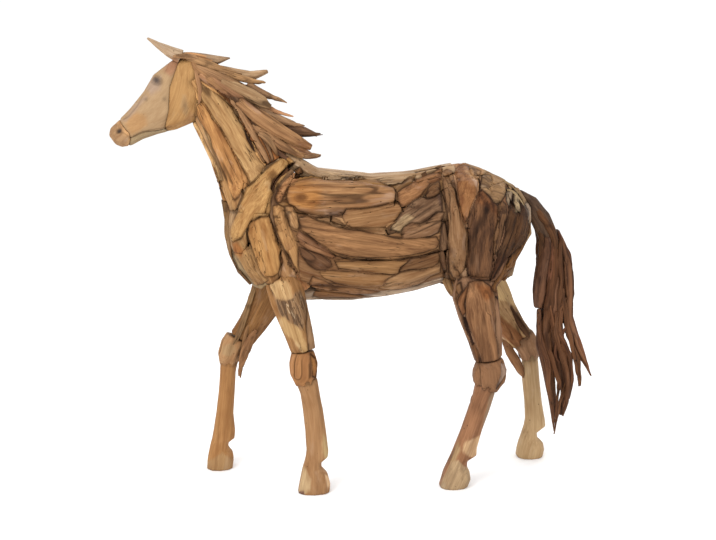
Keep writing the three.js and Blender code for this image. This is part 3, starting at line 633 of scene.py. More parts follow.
def tones(slot):
    """The light and the dark colour of one kind of wood."""
    kind = slot.replace("_wood", "")
    return getattr(colours(), kind + "_light"), getattr(colours(), kind + "_dark")


def slot_tone(slot):
    """The middle colour of one kind of wood."""
    light, dark = tones(slot)
    return (np.array(light) + np.array(dark)) / 2


def even_tone(node):
    """What turns a colour given over brown wood into one over the piece's own wood."""
    return slot_tone("brown_wood") / slot_tone(SLOTS[node])


def covers(words, node):
    """Whether any of the words is this piece's name or the name of a region it is in."""
    return any(node in REGIONS.get(word, [word]) for word in words.split())


FAR_AWAY = 1e9
ALMOST_FLAT = 1e-9


def line_distance(flat, a, b):
    """How far each (x, z) lies from the straight line between two points."""
    run = b - a
    t = np.clip(((flat - a) @ run) / (run @ run), 0.0, 1.0)
    return np.linalg.norm(flat - a - t[:, None] * run, axis=1)


def outline_distance(flat, outline):
    """How far each (x, z) lies from a closed outline in millimetres; negative inside it."""
    ring = np.array(outline, float) / MM
    best = np.full(len(flat), FAR_AWAY)
    inside = np.zeros(len(flat), bool)
    for a, b in zip(ring, np.roll(ring, -1, axis=0)):
        best = np.minimum(best, line_distance(flat, a, b))
        crosses = (a[1] > flat[:, 1]) != (b[1] > flat[:, 1])
        rise = b[1] - a[1] if abs(b[1] - a[1]) > ALMOST_FLAT else ALMOST_FLAT
        inside ^= crosses & (flat[:, 0] < a[0] + (flat[:, 1] - a[1]) / rise * (b[0] - a[0]))
    return np.where(inside, -best, best)


# Metres, and square metres for the area; PLANK_RISE is a factor on the height in a row.
PLANK_EDGE_GRAIN = 0.028
PLANK_EDGE_SWING = 0.0020
PLANK_GAP = 0.0015
PLANK_GAP_GRAIN = 0.045
PLANK_MARGIN = 0.02
PLANK_RISE = 1.7
PLANK_LEAST_RISE_RIGHT = 0.9  # millimetres, as in a row
PLANK_LEAST_AREA_RIGHT = 0.004
GRAIN_STEP = 0.31
GAP_DEPTH = 0.0026
BANK_DEPTH = 0.0024
BANK_WIDTH = 0.0050
DEEPEST = -0.0095


def fit_planks(node, points, normals, grain, along, tint):
    """Smaller planks let into a piece, each with its own grain, colour and height and a joint
    round it; the right side takes only the larger raised ones, in its own colour. Changes grain,
    along and tint in place; gives the lift of the skin, the joints, the shade beside them, and
    how deep each point lies inside one plank."""
    count = len(points)
    lift, seam, shade, depth = np.zeros(count), np.zeros(count), np.zeros(count), np.zeros(count)
    facing = smoothstep(0.05, 0.35, np.abs(normals[:, 1]))
    plainer = node.endswith("right")
    flat = points[:, [0, 2]]
    wobble = np.stack([noise(points / PLANK_EDGE_GRAIN, seed) for seed in (901, 902)], 1)
    width = PLANK_GAP * (1.0 + 0.8 * np.clip(noise(points / PLANK_GAP_GRAIN, 903), -0.4, 1.0) * 1.6)
    flat_moved = flat + PLANK_EDGE_SWING * wobble
    low, high = flat.min(0) - PLANK_MARGIN, flat.max(0) + PLANK_MARGIN
    for number, (nodes, colour, rise, outline) in enumerate(PLANKS):
        shape = np.array(outline, float) / MM
        if not covers(nodes, node) or (shape.max(0) < low).any() or (shape.min(0) > high).any():
            continue
        area = np.ptp(shape, axis=0).prod()
        if plainer and (rise < PLANK_LEAST_RISE_RIGHT or area < PLANK_LEAST_AREA_RIGHT):
            continue
        away = outline_distance(flat_moved, outline)
        inside = (away < 0.0) & (facing > 0.0)
        centre = shape.mean(0)
        way = np.linalg.svd(shape - centre, full_matrices=False)[2][0]
        way = way if way[0] > 0 else -way
        local = flat[inside] - centre
        grain[inside, 0] = local @ way + number * GRAIN_STEP
        grain[inside, 1] = local @ np.array([-way[1], way[0]])
        grain[inside, 2] = points[inside, 1]
        along[inside] = (way[0], 0.0, way[1])
        if not plainer:
            tint[inside] = colour * even_tone(node)
        near = np.abs(away)
        edge = np.exp(-((near / width) ** 2)) * facing
        lift += PLANK_RISE * rise / MM * smoothstep(0.0015, -0.0030, away) * facing
        bank = np.exp(-near / BANK_WIDTH) * facing
        lift -= GAP_DEPTH * edge + BANK_DEPTH * bank
        seam = np.maximum(seam, edge)
        shade = np.maximum(shade, bank)
        depth = np.maximum(depth, np.where(inside, -away, 0.0))
    return np.maximum(lift, DEEPEST), seam, shade, depth


PATCH_SWING = 0.0015


def paint_patches(node, points, normals, tint):
    """Parts of another wood or colour inside one piece, with no joint. Changes tint in place."""
    facing = smoothstep(-0.1, 0.2, -normals[:, 1])
    flat = points[:, [0, 2]]
    blur = 0.5 * noise(points / 0.013, 911) + 0.5 * noise(points / 0.031, 912)
    for nodes, colour, soft, outline in PATCHES:
        if covers(nodes, node):
            away = outline_distance(flat, outline) + 0.4 * soft / MM * blur + PATCH_SWING * blur
            part = (smoothstep(soft / MM, -soft / MM, away) * facing)[:, None]
            tint += (colour * even_tone(node) - tint) * part


def joint_distance(node, points, normals, reach=0.02):
    """How far each point lies from the next piece, up to the reach, and whether it faces it."""
    first = frame["nodes"][node]
    low = np.min([list(v.co) for v in first.data.vertices], axis=0) - reach
    high = np.max([list(v.co) for v in first.data.vertices], axis=0) + reach
    corners, faces = [], []
    for name, obj in frame["nodes"].items():
        place = np.array([list(v.co) for v in obj.data.vertices])
        if name in (node, "muzzle") or (place.max(0) < low).any() or (place.min(0) > high).any():
            continue
        start = len(corners)
        corners += [tuple(v) for v in place]
        faces += [[start + i for i in p.vertices] for p in obj.data.polygons]
    gap, toward = np.full(len(points), reach), np.zeros(len(points))
    if faces:
        tree = BVHTree.FromPolygons(corners, faces)
        for i, point in enumerate(points.tolist()):
            spot, _, _, away = tree.find_nearest(point, reach)
            if spot is not None:
                gap[i] = away
                toward[i] = (np.array(spot) - point) @ normals[i] / max(away, 1e-5)
    return gap, smoothstep(0.75, 0.35, toward)


# Length along the grain and widths across it, in metres, of each pattern of the weathering.
WAVE = (0.11, 0.034, 0.034)
FURROW = (0.13, 0.0095, 0.0095)
FINE_FURROW = (0.07, 0.0055, 0.0055)
SPLIT_LINE = (0.19, 0.021, 0.021)
SPLIT_AREA = (0.12, 0.05, 0.05)
BROKEN_END = (1.0, 0.007, 0.007)
KNOT_REACH = 0.017
KNOT_RISE = 0.0022
KNOT_RINGS = 9.0


def weather(mesh, grain, along, share, node, look, extra, lift, seam, shade):
    """Moves the skin in and out as years outdoors would, and marks the furrows and knots."""
    s = sizes()
    seed = sum(ord(c) * (i + 3) for i, c in enumerate(node)) % 9973
    points, normals = read(mesh), read(mesh, "normal")
    wide = noise(grain / WAVE + seed, seed)
    fine = noise(grain / FURROW + seed, seed + 1)
    finer = noise(grain / FINE_FURROW + seed, seed + 2)
    line = np.abs(noise(grain / SPLIT_LINE + seed, seed + 3))
    where = smoothstep(0.05, 0.45, noise(grain / SPLIT_AREA + seed, seed + 4))
    split = (1.0 - smoothstep(0.03, 0.16, line)) * where
    knot = np.zeros(len(points))
    if look["knots"]:
        knot = knots_of(grain, look["knots"], seed, KNOT_REACH)
    ring = np.cos(knot * KNOT_RINGS) * knot
    height = s.swell * look["swell"] * wide
    height += s.flute * look["flute"] * (0.75 * fine + 0.45 * finer)
    height -= s.split * look["split"] * split
    height += KNOT_RISE * ring + look["full"] + lift
    end = np.maximum(smoothstep(0.10, 0.0, share), smoothstep(0.90, 1.0, share))
    ragged = noise(grain * (0.0, 1.0, 1.0) / BROKEN_END + seed, seed + 5)
    push = -end * s.fray * look["fray"] * (0.5 + 0.5 * ragged) * np.where(share > 0.5, 1.0, -1.0)
    facing_end = np.abs((normals * along).sum(1))
    moved = points + normals * (height * (1.0 - 0.7 * facing_end))[:, None]
    moved += along * (push * facing_end)[:, None]
    # The groove mark darkens these furrows and splits, the joint lines and, below, the broken ends:
    # painted shade in the hollows, partly their own dark open wood.
    groove = split * min(1.0, look["split"] * 1.6) + np.clip(-fine, 0, 1) * 0.35 * look["flute"]
    groove = np.clip(groove + seam, 0, 1)
    stain = np.zeros(len(points))
    if extra is not None:
        moved, more, stain = extra(points, normals, moved)
        groove = np.clip(groove + more, 0.0, 1.0)
    write(mesh, moved)
    mark(mesh, "grain", grain + seed * 0.013, "FLOAT_VECTOR")
    mark(mesh, "calm", np.full(len(points), look["calm"]))
    mark(mesh, "groove", np.clip(groove + end * facing_end * 0.5, 0, 1))
    mark(mesh, "knot", knot)
    mark(mesh, "stain", stain)
    mark(mesh, "shade", shade)


def kept_inside(mesh):
    """The weathered skin stays within the frame's box, and the soles stay on the ground."""
    write(mesh, np.clip(read(mesh), np.array(CAD_BOX[0]), np.array(CAD_BOX[1])))


def thinned(mesh, part):
    """The mesh with only part of its triangles, the flattest places thinned first."""
    obj = link("thin", mesh)
    thin = obj.modifiers.new("thin", "DECIMATE")
    thin.ratio = part
    return settled(obj)


def finished(name, mesh, slot, tint, nodes=()):
    """Colours the mesh, gives it its wood and hangs it on the frame."""
    count = len(mesh.vertices)
    mark(mesh, "tint", np.hstack([tint, np.ones((count, 1))]), "FLOAT_COLOR")
    if "patch" not in mesh.attributes:
        mark(mesh, "patch", np.zeros(count))
    if nodes:
        mesh = thinned(mesh, sizes().kept_part)
    kept_inside(mesh)
    mesh.materials.clear()
    mesh.materials.append(wood(slot))
    mesh.polygons.foreach_set("use_smooth", [True] * len(mesh.polygons))
    mesh.update()
    obj = link(name, mesh)
    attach(obj, "root")
    if nodes:
        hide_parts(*nodes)
    return obj


# Strengths, and depths and widths in metres.
BARK_AMOUNT = 0.36
JOINT_BANK, JOINT_BANK_WIDTH = 0.0034, 0.0050
JOINT_CUT, JOINT_CUT_WIDTH = 0.0020, 0.0025
JOINT_LINE, JOINT_LINE_WIDTH = 0.85, 0.0026
JOINT_SHADE_WIDTH = 0.0055


def weathered(node, cell, turn=None, extra=None):
    """One frame node as a piece of worn wood."""
    look = finish_of(node)
    obj = link("skin", welded(node))
    skin = obj.modifiers.new("skin", "REMESH")
    skin.mode = "VOXEL"
    skin.voxel_size = cell
    rub = obj.modifiers.new("rub", "SMOOTH")
    rub.factor = 0.5
    rub.iterations = look["smooth"]
    mesh = settled(obj)
    points = read(mesh)
    grain, along, share = grain_of(points, turn)
    tint = np.tile(np.array(TINTS.get(node, (1.0, 1.0, 1.0))), (len(points), 1))
    normals = read(mesh, "normal")
    lift, seam, shade, depth = fit_planks(node, points, normals, grain, along, tint)
    paint_patches(node, points, normals, tint)
    bark = [outline_distance(points[:, [0, 2]], outline) for name, outline in BARK if name == node]
    if bark:
        kept = smoothstep(0.002, -0.003, bark[0])
        mark(mesh, "patch", BARK_AMOUNT * kept * smoothstep(0.0, 0.3, -normals[:, 1]))
    gap, outer = joint_distance(node, points, normals)
    plain = (1.0 - smoothstep(0.003, 0.010, depth)) * look["joint"]
    rough = 0.6 + 0.4 * noise(points / 0.03, 905)
    bank = JOINT_BANK * np.exp(-gap / JOINT_BANK_WIDTH) * rough
    cut = JOINT_CUT * np.exp(-((gap / JOINT_CUT_WIDTH) ** 2))
    lift -= (bank + cut) * plain * outer
    seam = np.maximum(seam, np.exp(-((gap / JOINT_LINE_WIDTH) ** 2)) * JOINT_LINE * plain)
    shade = np.maximum(shade, np.exp(-gap / JOINT_SHADE_WIDTH) * plain)
    uneven = 0.16 + 0.84 * smoothstep(-0.45, 0.35, noise(points / 0.040, 907))
    seam, shade = seam * (0.30 + 0.70 * uneven), shade * uneven
    weather(mesh, grain, along, share, node, look, extra, lift, seam, shade)
    return finished(node + "_wood", mesh, SLOTS[node], tint, [node])


# ---------------------------------------------------------------- wood
class Tree:
    """Short words for laying out a node tree."""

    def __init__(self, tree):
        self.tree = tree

    def add(self, kind, inputs=None, **settings):
        node = self.tree.nodes.new(kind)
        for key, value in settings.items():
            setattr(node, key, value)
        for key, value in (inputs or {}).items():
            self.give(node.inputs[key], value)
        return node

    def give(self, socket, value):
        if isinstance(value, bpy.types.NodeSocket):
            self.tree.links.new(value, socket)
        else:
            socket.default_value = value

    def math(self, operation, a, b=0.0, c=0.0, clamp=False):
        node = self.add("ShaderNodeMath", {0: a, 1: b, 2: c}, operation=operation, use_clamp=clamp)
        return node.outputs[0]

    def span(self, value, low, high, to_low=0.0, to_high=1.0):
        inputs = {"Value": value, "From Min": low, "From Max": high,
                  "To Min": to_low, "To Max": to_high}
        return self.add("ShaderNodeMapRange", inputs, interpolation_type="SMOOTHSTEP").outputs[0]

    def mix(self, factor, a, b, blend="MIX"):
        node = self.add("ShaderNodeMix", data_type="RGBA", blend_type=blend)
        for place, value in ((0, factor), (6, a), (7, b)):
            self.give(node.inputs[place], value)
        return node.outputs[2]

    def stretched(self, vector, scale, detail, distortion=0.0, shift=0.0):
        place = self.add("ShaderNodeMapping", {"Vector": vector, "Scale": scale,
                                               "Location": (shift, shift * 0.7, shift * 1.3)})
        inputs = {"Vector": place.outputs[0], "Scale": 1.0, "Detail": detail, "Roughness": 0.6,
                  "Distortion": distortion}
        return self.add("ShaderNodeTexNoise", inputs).outputs["Fac"]


def rgba(values, gain=1.0):
    return (*[min(1.0, v * gain) for v in values], 1.0)


SAP_COLOUR = (0.95, 0.74, 0.46, 1.0)
BARK_COLOUR = (0.12, 0.07, 0.042, 1.0)
# Near-black colour of the dark marks and the eye, and of the painted shade in the nostril.
STAIN_AND_SHADE_COLOUR = (0.035, 0.026, 0.024, 1.0)


def wood(slot):
    """The material of one kind of driftwood, made once."""
    name = slot.replace("_wood", " driftwood")
    if name in bpy.data.materials:
        return bpy.data.materials[name]
    light, dark = tones(slot)
    middle = [(a * 0.58 + b * 0.42) for a, b in zip(light, dark)]
    material = bpy.data.materials.new(name)
    material.use_nodes = True
    material.node_tree.nodes.clear()
    t = Tree(material.node_tree)
    grain = t.add("ShaderNodeAttribute", attribute_name="grain").outputs["Vector"]
    groove, knot, stain, patch, calm, shade = (
        t.add("ShaderNodeAttribute", attribute_name=label).outputs["Fac"]
        for label in ("groove", "knot", "stain", "patch", "calm", "shade")
    )
    tint = t.add("ShaderNodeAttribute", attribute_name="tint").outputs["Color"]

    band = t.stretched(grain, (5.0, 75.0, 75.0), 3.0, 0.5)
    fibre = t.stretched(grain, (16.0, 430.0, 430.0), 3.0, 0.2, 3.1)
    cloud = t.stretched(grain, (7.0, 19.0, 19.0), 2.0, 0.8, 7.7)
    figure = t.stretched(grain, (3.0, 190.0, 190.0), 2.0, 0.9, 5.3)

    streaks = t.math("ADD", band, t.math("MULTIPLY", cloud, 0.55))
    ramp = t.add("ShaderNodeValToRGB", {"Fac": streaks})
    stops = ramp.color_ramp.elements
    stops[0].position, stops[0].color = 0.58, rgba(dark)
    stops[1].position, stops[1].color = 0.98, rgba(light)
    mid = stops.new(0.75)
    mid.color = rgba(middle)
    base = ramp.outputs["Color"]
    base = t.mix(t.span(figure, 0.42, 0.62, 0.0, 0.40), base, rgba(dark, 0.85))
    base = t.mix(t.span(fibre, 0.35, 0.7, 0.30, 0.0), base, rgba(dark, 0.75))
    broad = t.stretched(grain, (4.0, 34.0, 34.0), 3.0, 0.7, 41.0)
    base = t.mix(t.span(broad, 0.54, 0.70, 0.0, 0.60), base, rgba(dark, 0.95))
    washed = [0.75 * v + 0.25 * sum(light) / 3 * 1.25 for v in light]
    bleached = t.stretched(grain, (9.0, 30.0, 30.0), 3.0, 0.4, 11.0)
    base = t.mix(t.span(bleached, 0.56, 0.72, 0.0, 0.45), base, rgba(washed))
    base = t.mix(calm, base, rgba(middle, 1.25))

    thread = t.stretched(grain, (6.5, 105.0, 105.0), 1.2, 0.3, 17.0)
    line = t.math("ABSOLUTE", t.math("SUBTRACT", thread, 0.5))
    open_part = t.span(t.stretched(grain, (8.0, 26.0, 26.0), 1.0, 0.0, 23.0), 0.5, 0.62)
    crack = t.math("MULTIPLY", t.span(line, 0.004, 0.016, 1.0, 0.0), open_part)
    crack = t.math("MULTIPLY", crack, t.span(calm, 0.05, 0.5, 1.0, 0.0))

    holes = t.add("ShaderNodeMapping", {"Vector": grain, "Scale": (75.0, 105.0, 105.0)}).outputs[0]
    cells = t.add("ShaderNodeTexVoronoi", {"Vector": holes, "Scale": 1.0})
    chance = t.add("ShaderNodeSeparateColor", {"Color": cells.outputs["Color"]}).outputs[0]
    speck = t.math("MULTIPLY", t.span(cells.outputs["Distance"], 0.10, 0.20, 1.0, 0.0),
                   t.math("GREATER_THAN", chance, 0.93))

    rings = t.math("SINE", t.math("MULTIPLY", knot, 24.0))
    knotted = t.mix(t.span(knot, 0.05, 0.75, 0.0, 0.85), base, rgba(dark, 0.55))
    knotted = t.mix(t.math("MULTIPLY", t.span(rings, 0.0, 1.0, 0.0, 0.35), t.span(knot, 0.02, 0.3)),
                    knotted, rgba(dark, 0.8))
    bark_noise = t.stretched(grain, (26.0, 60.0, 60.0), 4.0, 0.6, 31.0)
    ragged = t.math("MULTIPLY", t.math("SUBTRACT", bark_noise, 0.5), 1.3)
    sap = t.span(t.math("ADD", patch, ragged), 0.46, 0.54)
    bark = t.span(t.stretched(grain, (14.0, 110.0, 110.0), 4.0, 0.9, 37.0), 0.47, 0.52)
    edge_bark = t.math("MULTIPLY", bark, t.span(patch, 0.1, 0.5))
    patched = t.mix(sap, knotted, SAP_COLOUR)
    patched = t.mix(edge_bark, patched, BARK_COLOUR)
    shaded = t.mix(t.math("MULTIPLY", shade, 0.80), patched, rgba(dark, 0.45))
    # Painted shade in the furrows, splits and joint lines of the groove mark, partly their own dark
    # open wood.
    shade_darkened = t.mix(t.math("MULTIPLY", groove, 0.80), shaded, rgba(dark, 0.25))
    # Painted shade in the cracks and pits, partly their own dark open wood.
    open_wood = t.math("ADD", crack, speck, clamp=True)
    shade_darkened = t.mix(t.math("MULTIPLY", open_wood, 0.85), shade_darkened, rgba(dark, 0.22))
    # Dark marks and the dark eye, and painted shade inside the nostril.
    shade_darkened = t.mix(t.math("MULTIPLY", stain, 0.93), shade_darkened, STAIN_AND_SHADE_COLOUR)
    final = t.mix(1.0, shade_darkened, tint, "MULTIPLY")

    rough = t.span(fibre, 0.3, 0.7, 0.74, 0.52)
    height = t.math("ADD", t.math("MULTIPLY", fibre, 0.35), t.math("MULTIPLY", band, 0.9))
    height = t.math("SUBTRACT", height, t.math("MULTIPLY", crack, 1.1))
    height = t.math("SUBTRACT", height, t.math("MULTIPLY", t.math("ADD", speck, edge_bark), 0.7))
    bump = t.add("ShaderNodeBump", {"Height": height, "Strength": 0.75, "Distance": 0.0016})
    shader = t.add("ShaderNodeBsdfPrincipled", {
        "Base Color": final, "Roughness": rough, "Normal": bump.outputs[0],
        "Specular IOR Level": 0.10,
    })
    out = t.add("ShaderNodeOutputMaterial", {"Surface": shader.outputs[0]})
    out.is_active_output = True
    return material


# ---------------------------------------------------------------- the head's carving
def near_line(points, route, width):
    """How near each point, seen from the side, is to a line of (x, z) in millimetres."""
    flat = points[:, [0, 2]]
    route = np.array(route) / MM
    best = np.full(len(points), FAR_AWAY)
    for a, b in zip(route[:-1], route[1:]):
        best = np.minimum(best, line_distance(flat, a, b))
    return np.exp(-((best / width) ** 2))


def near_spot(points, x, z, reach_x, reach_z, tilt):
    """How far each point, seen from the side, is from the centre of an oval; 1 at its rim."""
    dx, dz = points[:, 0] - x / MM, points[:, 2] - z / MM
    c, s = math.cos(tilt), math.sin(tilt)
    across, up = dx * c + dz * s, -dx * s + dz * c
    return np.sqrt((across / reach_x) ** 2 + (up / reach_z) ** 2)


# The lip, the seam down the nose and the seam over the jaw: routes of (x, z) in millimetres.
FACE_LINES = [
    [(-711, 1084), (-699, 1084), (-688, 1078), (-677, 1066), (-677, 1054), (-690, 1042)],
    [(-636, 1192), (-656, 1158), (-680, 1130), (-694, 1122)],
    [(-557, 1100), (-600, 1094), (-644, 1085), (-668, 1072)],
]
FACE_LINE_WIDTH = 0.0022
FACE_LINE_DEPTH = 0.0012
EYE = (-599, 1236)
EYE_REACH, EYE_TILT = (0.021, 0.0145), -0.35
SOCKET_DEPTH, BALL_HEIGHT, LID_HEIGHT = 0.0065, 0.0050, 0.0016
NOSTRIL = (-710, 1088)
NOSTRIL_REACH, NOSTRIL_TILT, NOSTRIL_DEPTH = (0.0085, 0.0065), 0.6, 0.0065
# Dark marks: place in millimetres, reach in metres and strength.
FACE_KNOTS = [
    (-516, 1158, 0.009, 0.024, 0.42),
    (-627, 1180, 0.007, 0.005, 0.5),
    (-575, 1182, 0.006, 0.006, 0.42),
]


def carve_head(points, normals, moved):
    """The lip and the seams of the head, its dark marks, the eye in its socket and the nostril."""
    out = moved.copy()
    groove = np.zeros(len(points))
    stain = np.zeros(len(points))
    sideways = smoothstep(0.25, 0.6, np.abs(normals[:, 1]))
    for route in FACE_LINES:
        near = near_line(points, route, FACE_LINE_WIDTH) * sideways
        out -= normals * (FACE_LINE_DEPTH * near)[:, None]
        # The cut lines also darken, as painted shade in them.
        groove = np.maximum(groove, near * 0.45)
    away = near_spot(points, *EYE, *EYE_REACH, EYE_TILT)
    socket = np.exp(-((away / 1.25) ** 4)) * sideways
    ball = np.exp(-((away / 0.62) ** 4)) * sideways
    lid = np.exp(-(((away - 1.05) / 0.22) ** 2)) * sideways
    out += normals * (-SOCKET_DEPTH * socket + BALL_HEIGHT * ball + LID_HEIGHT * lid)[:, None]
    stain = np.maximum(stain, np.exp(-((away / 0.66) ** 3)) * sideways * 0.88)
    for x, z, reach_x, reach_z, depth in FACE_KNOTS:
        mark_here = np.exp(-near_spot(points, x, z, reach_x, reach_z, 0.15) ** 2) * sideways
        stain = np.maximum(stain, mark_here * depth)
    # Painted shade: a dark ring round the rim of the eye socket.
    groove = np.maximum(groove, np.exp(-(((away - 0.85) / 0.25) ** 2)) * sideways * 0.4)
    hole = near_spot(points, *NOSTRIL, *NOSTRIL_REACH, NOSTRIL_TILT)
    dip = np.exp(-((hole / 1.1) ** 4)) * sideways
    out -= normals * (NOSTRIL_DEPTH * dip)[:, None]
    # Painted shade: the inside of the nostril is darkened to near black.
    stain = np.maximum(stain, np.exp(-((hole / 0.95) ** 4)) * sideways)
    return out, groove, stain


# ---------------------------------------------------------------- strips and rootlets
CLEAR_OF_BODY = 0.6  # metres, outside every piece


def body_skin():
    """All frame nodes as one tree for finding the surface."""
    points, faces = [], []
    for obj in frame["nodes"].values():
        first = len(points)
        points += [v.co.copy() for v in obj.data.vertices]
        faces += [[first + i for i in p.vertices] for p in obj.data.polygons]
    return BVHTree.FromPolygons(points, faces)


def on_left(skin, x, z, lift):
    """The point on the left outside of the body at (x, z), lifted along its normal."""
    start = Vector((x, -CLEAR_OF_BODY, z))
    spot, normal, _, _ = skin.ray_cast(start, Vector((0, 1, 0)), CLEAR_OF_BODY)
    if spot is None:
        spot, normal, _, _ = skin.find_nearest(Vector((x, -0.05, z)))
    return spot + normal * lift, normal


def strip_tree():
    """Geometry nodes: a split stick along each curve, with a flattened, uneven section."""
    name = "split stick along a path"
    if name in bpy.data.node_groups:
        return bpy.data.node_groups[name]
    tree = bpy.data.node_groups.new(name, "GeometryNodeTree")
    for label, kind, default in (
        ("Geometry", "NodeSocketGeometry", None), ("Step", "NodeSocketFloat", 0.004),
        ("Flatness", "NodeSocketFloat", 0.55), ("Unevenness", "NodeSocketFloat", 0.0014),
        ("Seed", "NodeSocketFloat", 0.0), ("Material", "NodeSocketMaterial", None),
    ):
        socket = tree.interface.new_socket(label, in_out="INPUT", socket_type=kind)
        if default is not None:
            socket.default_value = default
    tree.interface.new_socket("Geometry", in_out="OUTPUT", socket_type="NodeSocketGeometry")
    t = Tree(tree)
    given = t.add("NodeGroupInput").outputs
    lines = t.add("GeometryNodeMeshToCurve", {"Mesh": given["Geometry"]})
    way = t.add("GeometryNodeResampleCurve",
                {"Curve": lines.outputs[0], "Length": given["Step"]}, mode="LENGTH")
    outward = t.add("GeometryNodeInputNamedAttribute", {"Name": "outward"},
                    data_type="FLOAT_VECTOR")
    facing = t.add("GeometryNodeSetCurveNormal",
                   {"Curve": way.outputs[0], "Normal": outward.outputs[0]}, mode="FREE")
    spline = t.add("GeometryNodeSplineParameter")
    order = t.add("GeometryNodeInputNamedAttribute", {"Name": "order"}, data_type="FLOAT")
    keep = t.add("GeometryNodeCaptureAttribute", {"Geometry": facing.outputs[0]})
    keep.capture_items.new("FLOAT", "run")
    keep.capture_items.new("FLOAT", "order")
    keep.capture_items.new("FLOAT", "size")
    size = t.add("GeometryNodeInputNamedAttribute", {"Name": "half"}, data_type="FLOAT")
    tree.links.new(spline.outputs["Length"], keep.inputs[1])
    tree.links.new(order.outputs[0], keep.inputs[2])
    tree.links.new(size.outputs[0], keep.inputs[3])
    ring = t.add("GeometryNodeCurvePrimitiveCircle", {"Resolution": 14, "Radius": 1.0})
    flat = t.add("ShaderNodeCombineXYZ", {0: given["Flatness"], 1: 1.0, 2: 1.0})
    section = t.add("GeometryNodeTransform",
                    {"Geometry": ring.outputs[0], "Scale": flat.outputs[0]})
    place = t.add("GeometryNodeInputPosition")
    edge = t.add("GeometryNodeCaptureAttribute", {"Geometry": section.outputs[0]})
    edge.capture_items.new("VECTOR", "section")
    tree.links.new(place.outputs[0], edge.inputs[1])
    stick = t.add("GeometryNodeCurveToMesh", {
        "Curve": keep.outputs[0], "Profile Curve": edge.outputs[0], "Fill Caps": True,
        "Scale": keep.outputs[3],
    })
    parts = t.add("ShaderNodeSeparateXYZ", {0: edge.outputs[1]})
    across = t.math("MULTIPLY", parts.outputs[0], keep.outputs[3])
    around = t.math("MULTIPLY", parts.outputs[1], keep.outputs[3])
    along = t.math("ADD", keep.outputs[1], t.math("MULTIPLY", keep.outputs[2], 0.37))
    grain = t.add("ShaderNodeCombineXYZ", {0: along, 1: across, 2: around})
    stored = t.add("GeometryNodeStoreNamedAttribute",
                   {"Geometry": stick.outputs[0], "Name": "grain", "Value": grain.outputs[0]},
                   data_type="FLOAT_VECTOR", domain="POINT")
    numbered = t.add("GeometryNodeStoreNamedAttribute",
                     {"Geometry": stored.outputs[0], "Name": "stick", "Value": keep.outputs[2]},
                     data_type="FLOAT", domain="POINT")
    spread = t.add("ShaderNodeVectorMath", {0: grain.outputs[0], 1: (16.0, 130.0, 130.0)},
                   operation="MULTIPLY")
    rough = t.add("ShaderNodeTexNoise", {"Vector": spread.outputs[0], "W": given["Seed"],
                                         "Scale": 1.0, "Detail": 1.0}, noise_dimensions="4D")
    lift = t.math("MULTIPLY", t.math("SUBTRACT", rough.outputs["Fac"], 0.5), given["Unevenness"])
    normal = t.add("GeometryNodeInputNormal")
    push = t.math("MULTIPLY", lift, 4.0)
    offset = t.add("ShaderNodeVectorMath", {0: normal.outputs[0], "Scale": push},
                   operation="SCALE")
    shaped = t.add("GeometryNodeSetPosition",
                   {"Geometry": numbered.outputs[0], "Offset": offset.outputs[0]})
    whole = t.add("GeometryNodeRealizeInstances", {"Geometry": shaped.outputs[0]})
    clothed = t.add("GeometryNodeSetMaterial",
                    {"Geometry": whole.outputs[0], "Material": given["Material"]})
    t.add("NodeGroupOutput", {"Geometry": clothed.outputs[0]})
    return tree


STICK_SPLIT_LINE = (0.11, 0.013, 0.013)
STICK_SPLIT_DEPTH = 0.0016
STICK_SEED = 77


def sticks(name, slot, rows, flatness=0.5, unevenness=0.0014):
    """Many sticks as one object. A row is its colour and a list of (point, half width, outward
    normal)."""
    tints = [row[0] for row in rows]
    places, halves, outward, order, edges = [], [], [], [], []
    for number, (_, row) in enumerate(rows):
        edges += [(len(places) + i, len(places) + i + 1) for i in range(len(row) - 1)]
        for point, half, normal in row:
            places.append(tuple(point))
            halves.append(half)
            outward.append(tuple(normal))
            order.append(float(number))
    paths = bpy.data.meshes.new(name)
    paths.from_pydata(places, edges, [])
    mark(paths, "outward", outward, "FLOAT_VECTOR")
    mark(paths, "order", order)
    mark(paths, "half", halves)
    obj = link(name, paths)
    nodes = obj.modifiers.new("sticks", "NODES")
    nodes.node_group = strip_tree()
    items = nodes.node_group.interface.items_tree
    ids = {item.name: item.identifier for item in items if item.in_out == "INPUT"}
    nodes[ids["Step"]] = sizes().strip_step
    nodes[ids["Flatness"]] = flatness
    nodes[ids["Unevenness"]] = unevenness
    nodes[ids["Seed"]] = float(len(rows))
    nodes[ids["Material"]] = wood(slot)
    mesh = settled(obj)
    count = len(mesh.vertices)
    number = np.empty(count, np.float32)
    mesh.attributes["stick"].data.foreach_get("value", number)
    grain = np.empty(count * 3, np.float32)
    mesh.attributes["grain"].data.foreach_get("vector", grain)
    grain = grain.reshape(-1, 3)
    line = np.abs(noise(grain / STICK_SPLIT_LINE, STICK_SEED))
    split = 1.0 - smoothstep(0.03, 0.15, line)
    points, normals = read(mesh), read(mesh, "normal")
    write(mesh, points - normals * (split * STICK_SPLIT_DEPTH)[:, None])
    # The splits also darken through the groove mark, as painted shade in them.
    mark(mesh, "groove", split * 0.6)
    for field in ("knot", "stain", "calm", "shade"):
        mark(mesh, field, np.zeros(count))
    palette = np.array(tints, float)
    return finished(name, mesh, slot, palette[np.round(number).astype(int) % len(palette)])


def stations(row, count=7):
    """A short row of numbers at more places: on one curve through up to four, else straight
    from each to the next."""
    row = np.array(row, float)
    places = np.arange(len(row))
    at = np.linspace(0, len(row) - 1, max(count, len(row)))
    if len(row) > 4:
        return np.stack([np.interp(at, places, column) for column in row.T], 1)
    curves = [polynomial.polyfit(places, column, len(row) - 1) for column in row.T]
    return np.stack([polynomial.polyval(at, curve) for curve in curves], 1)


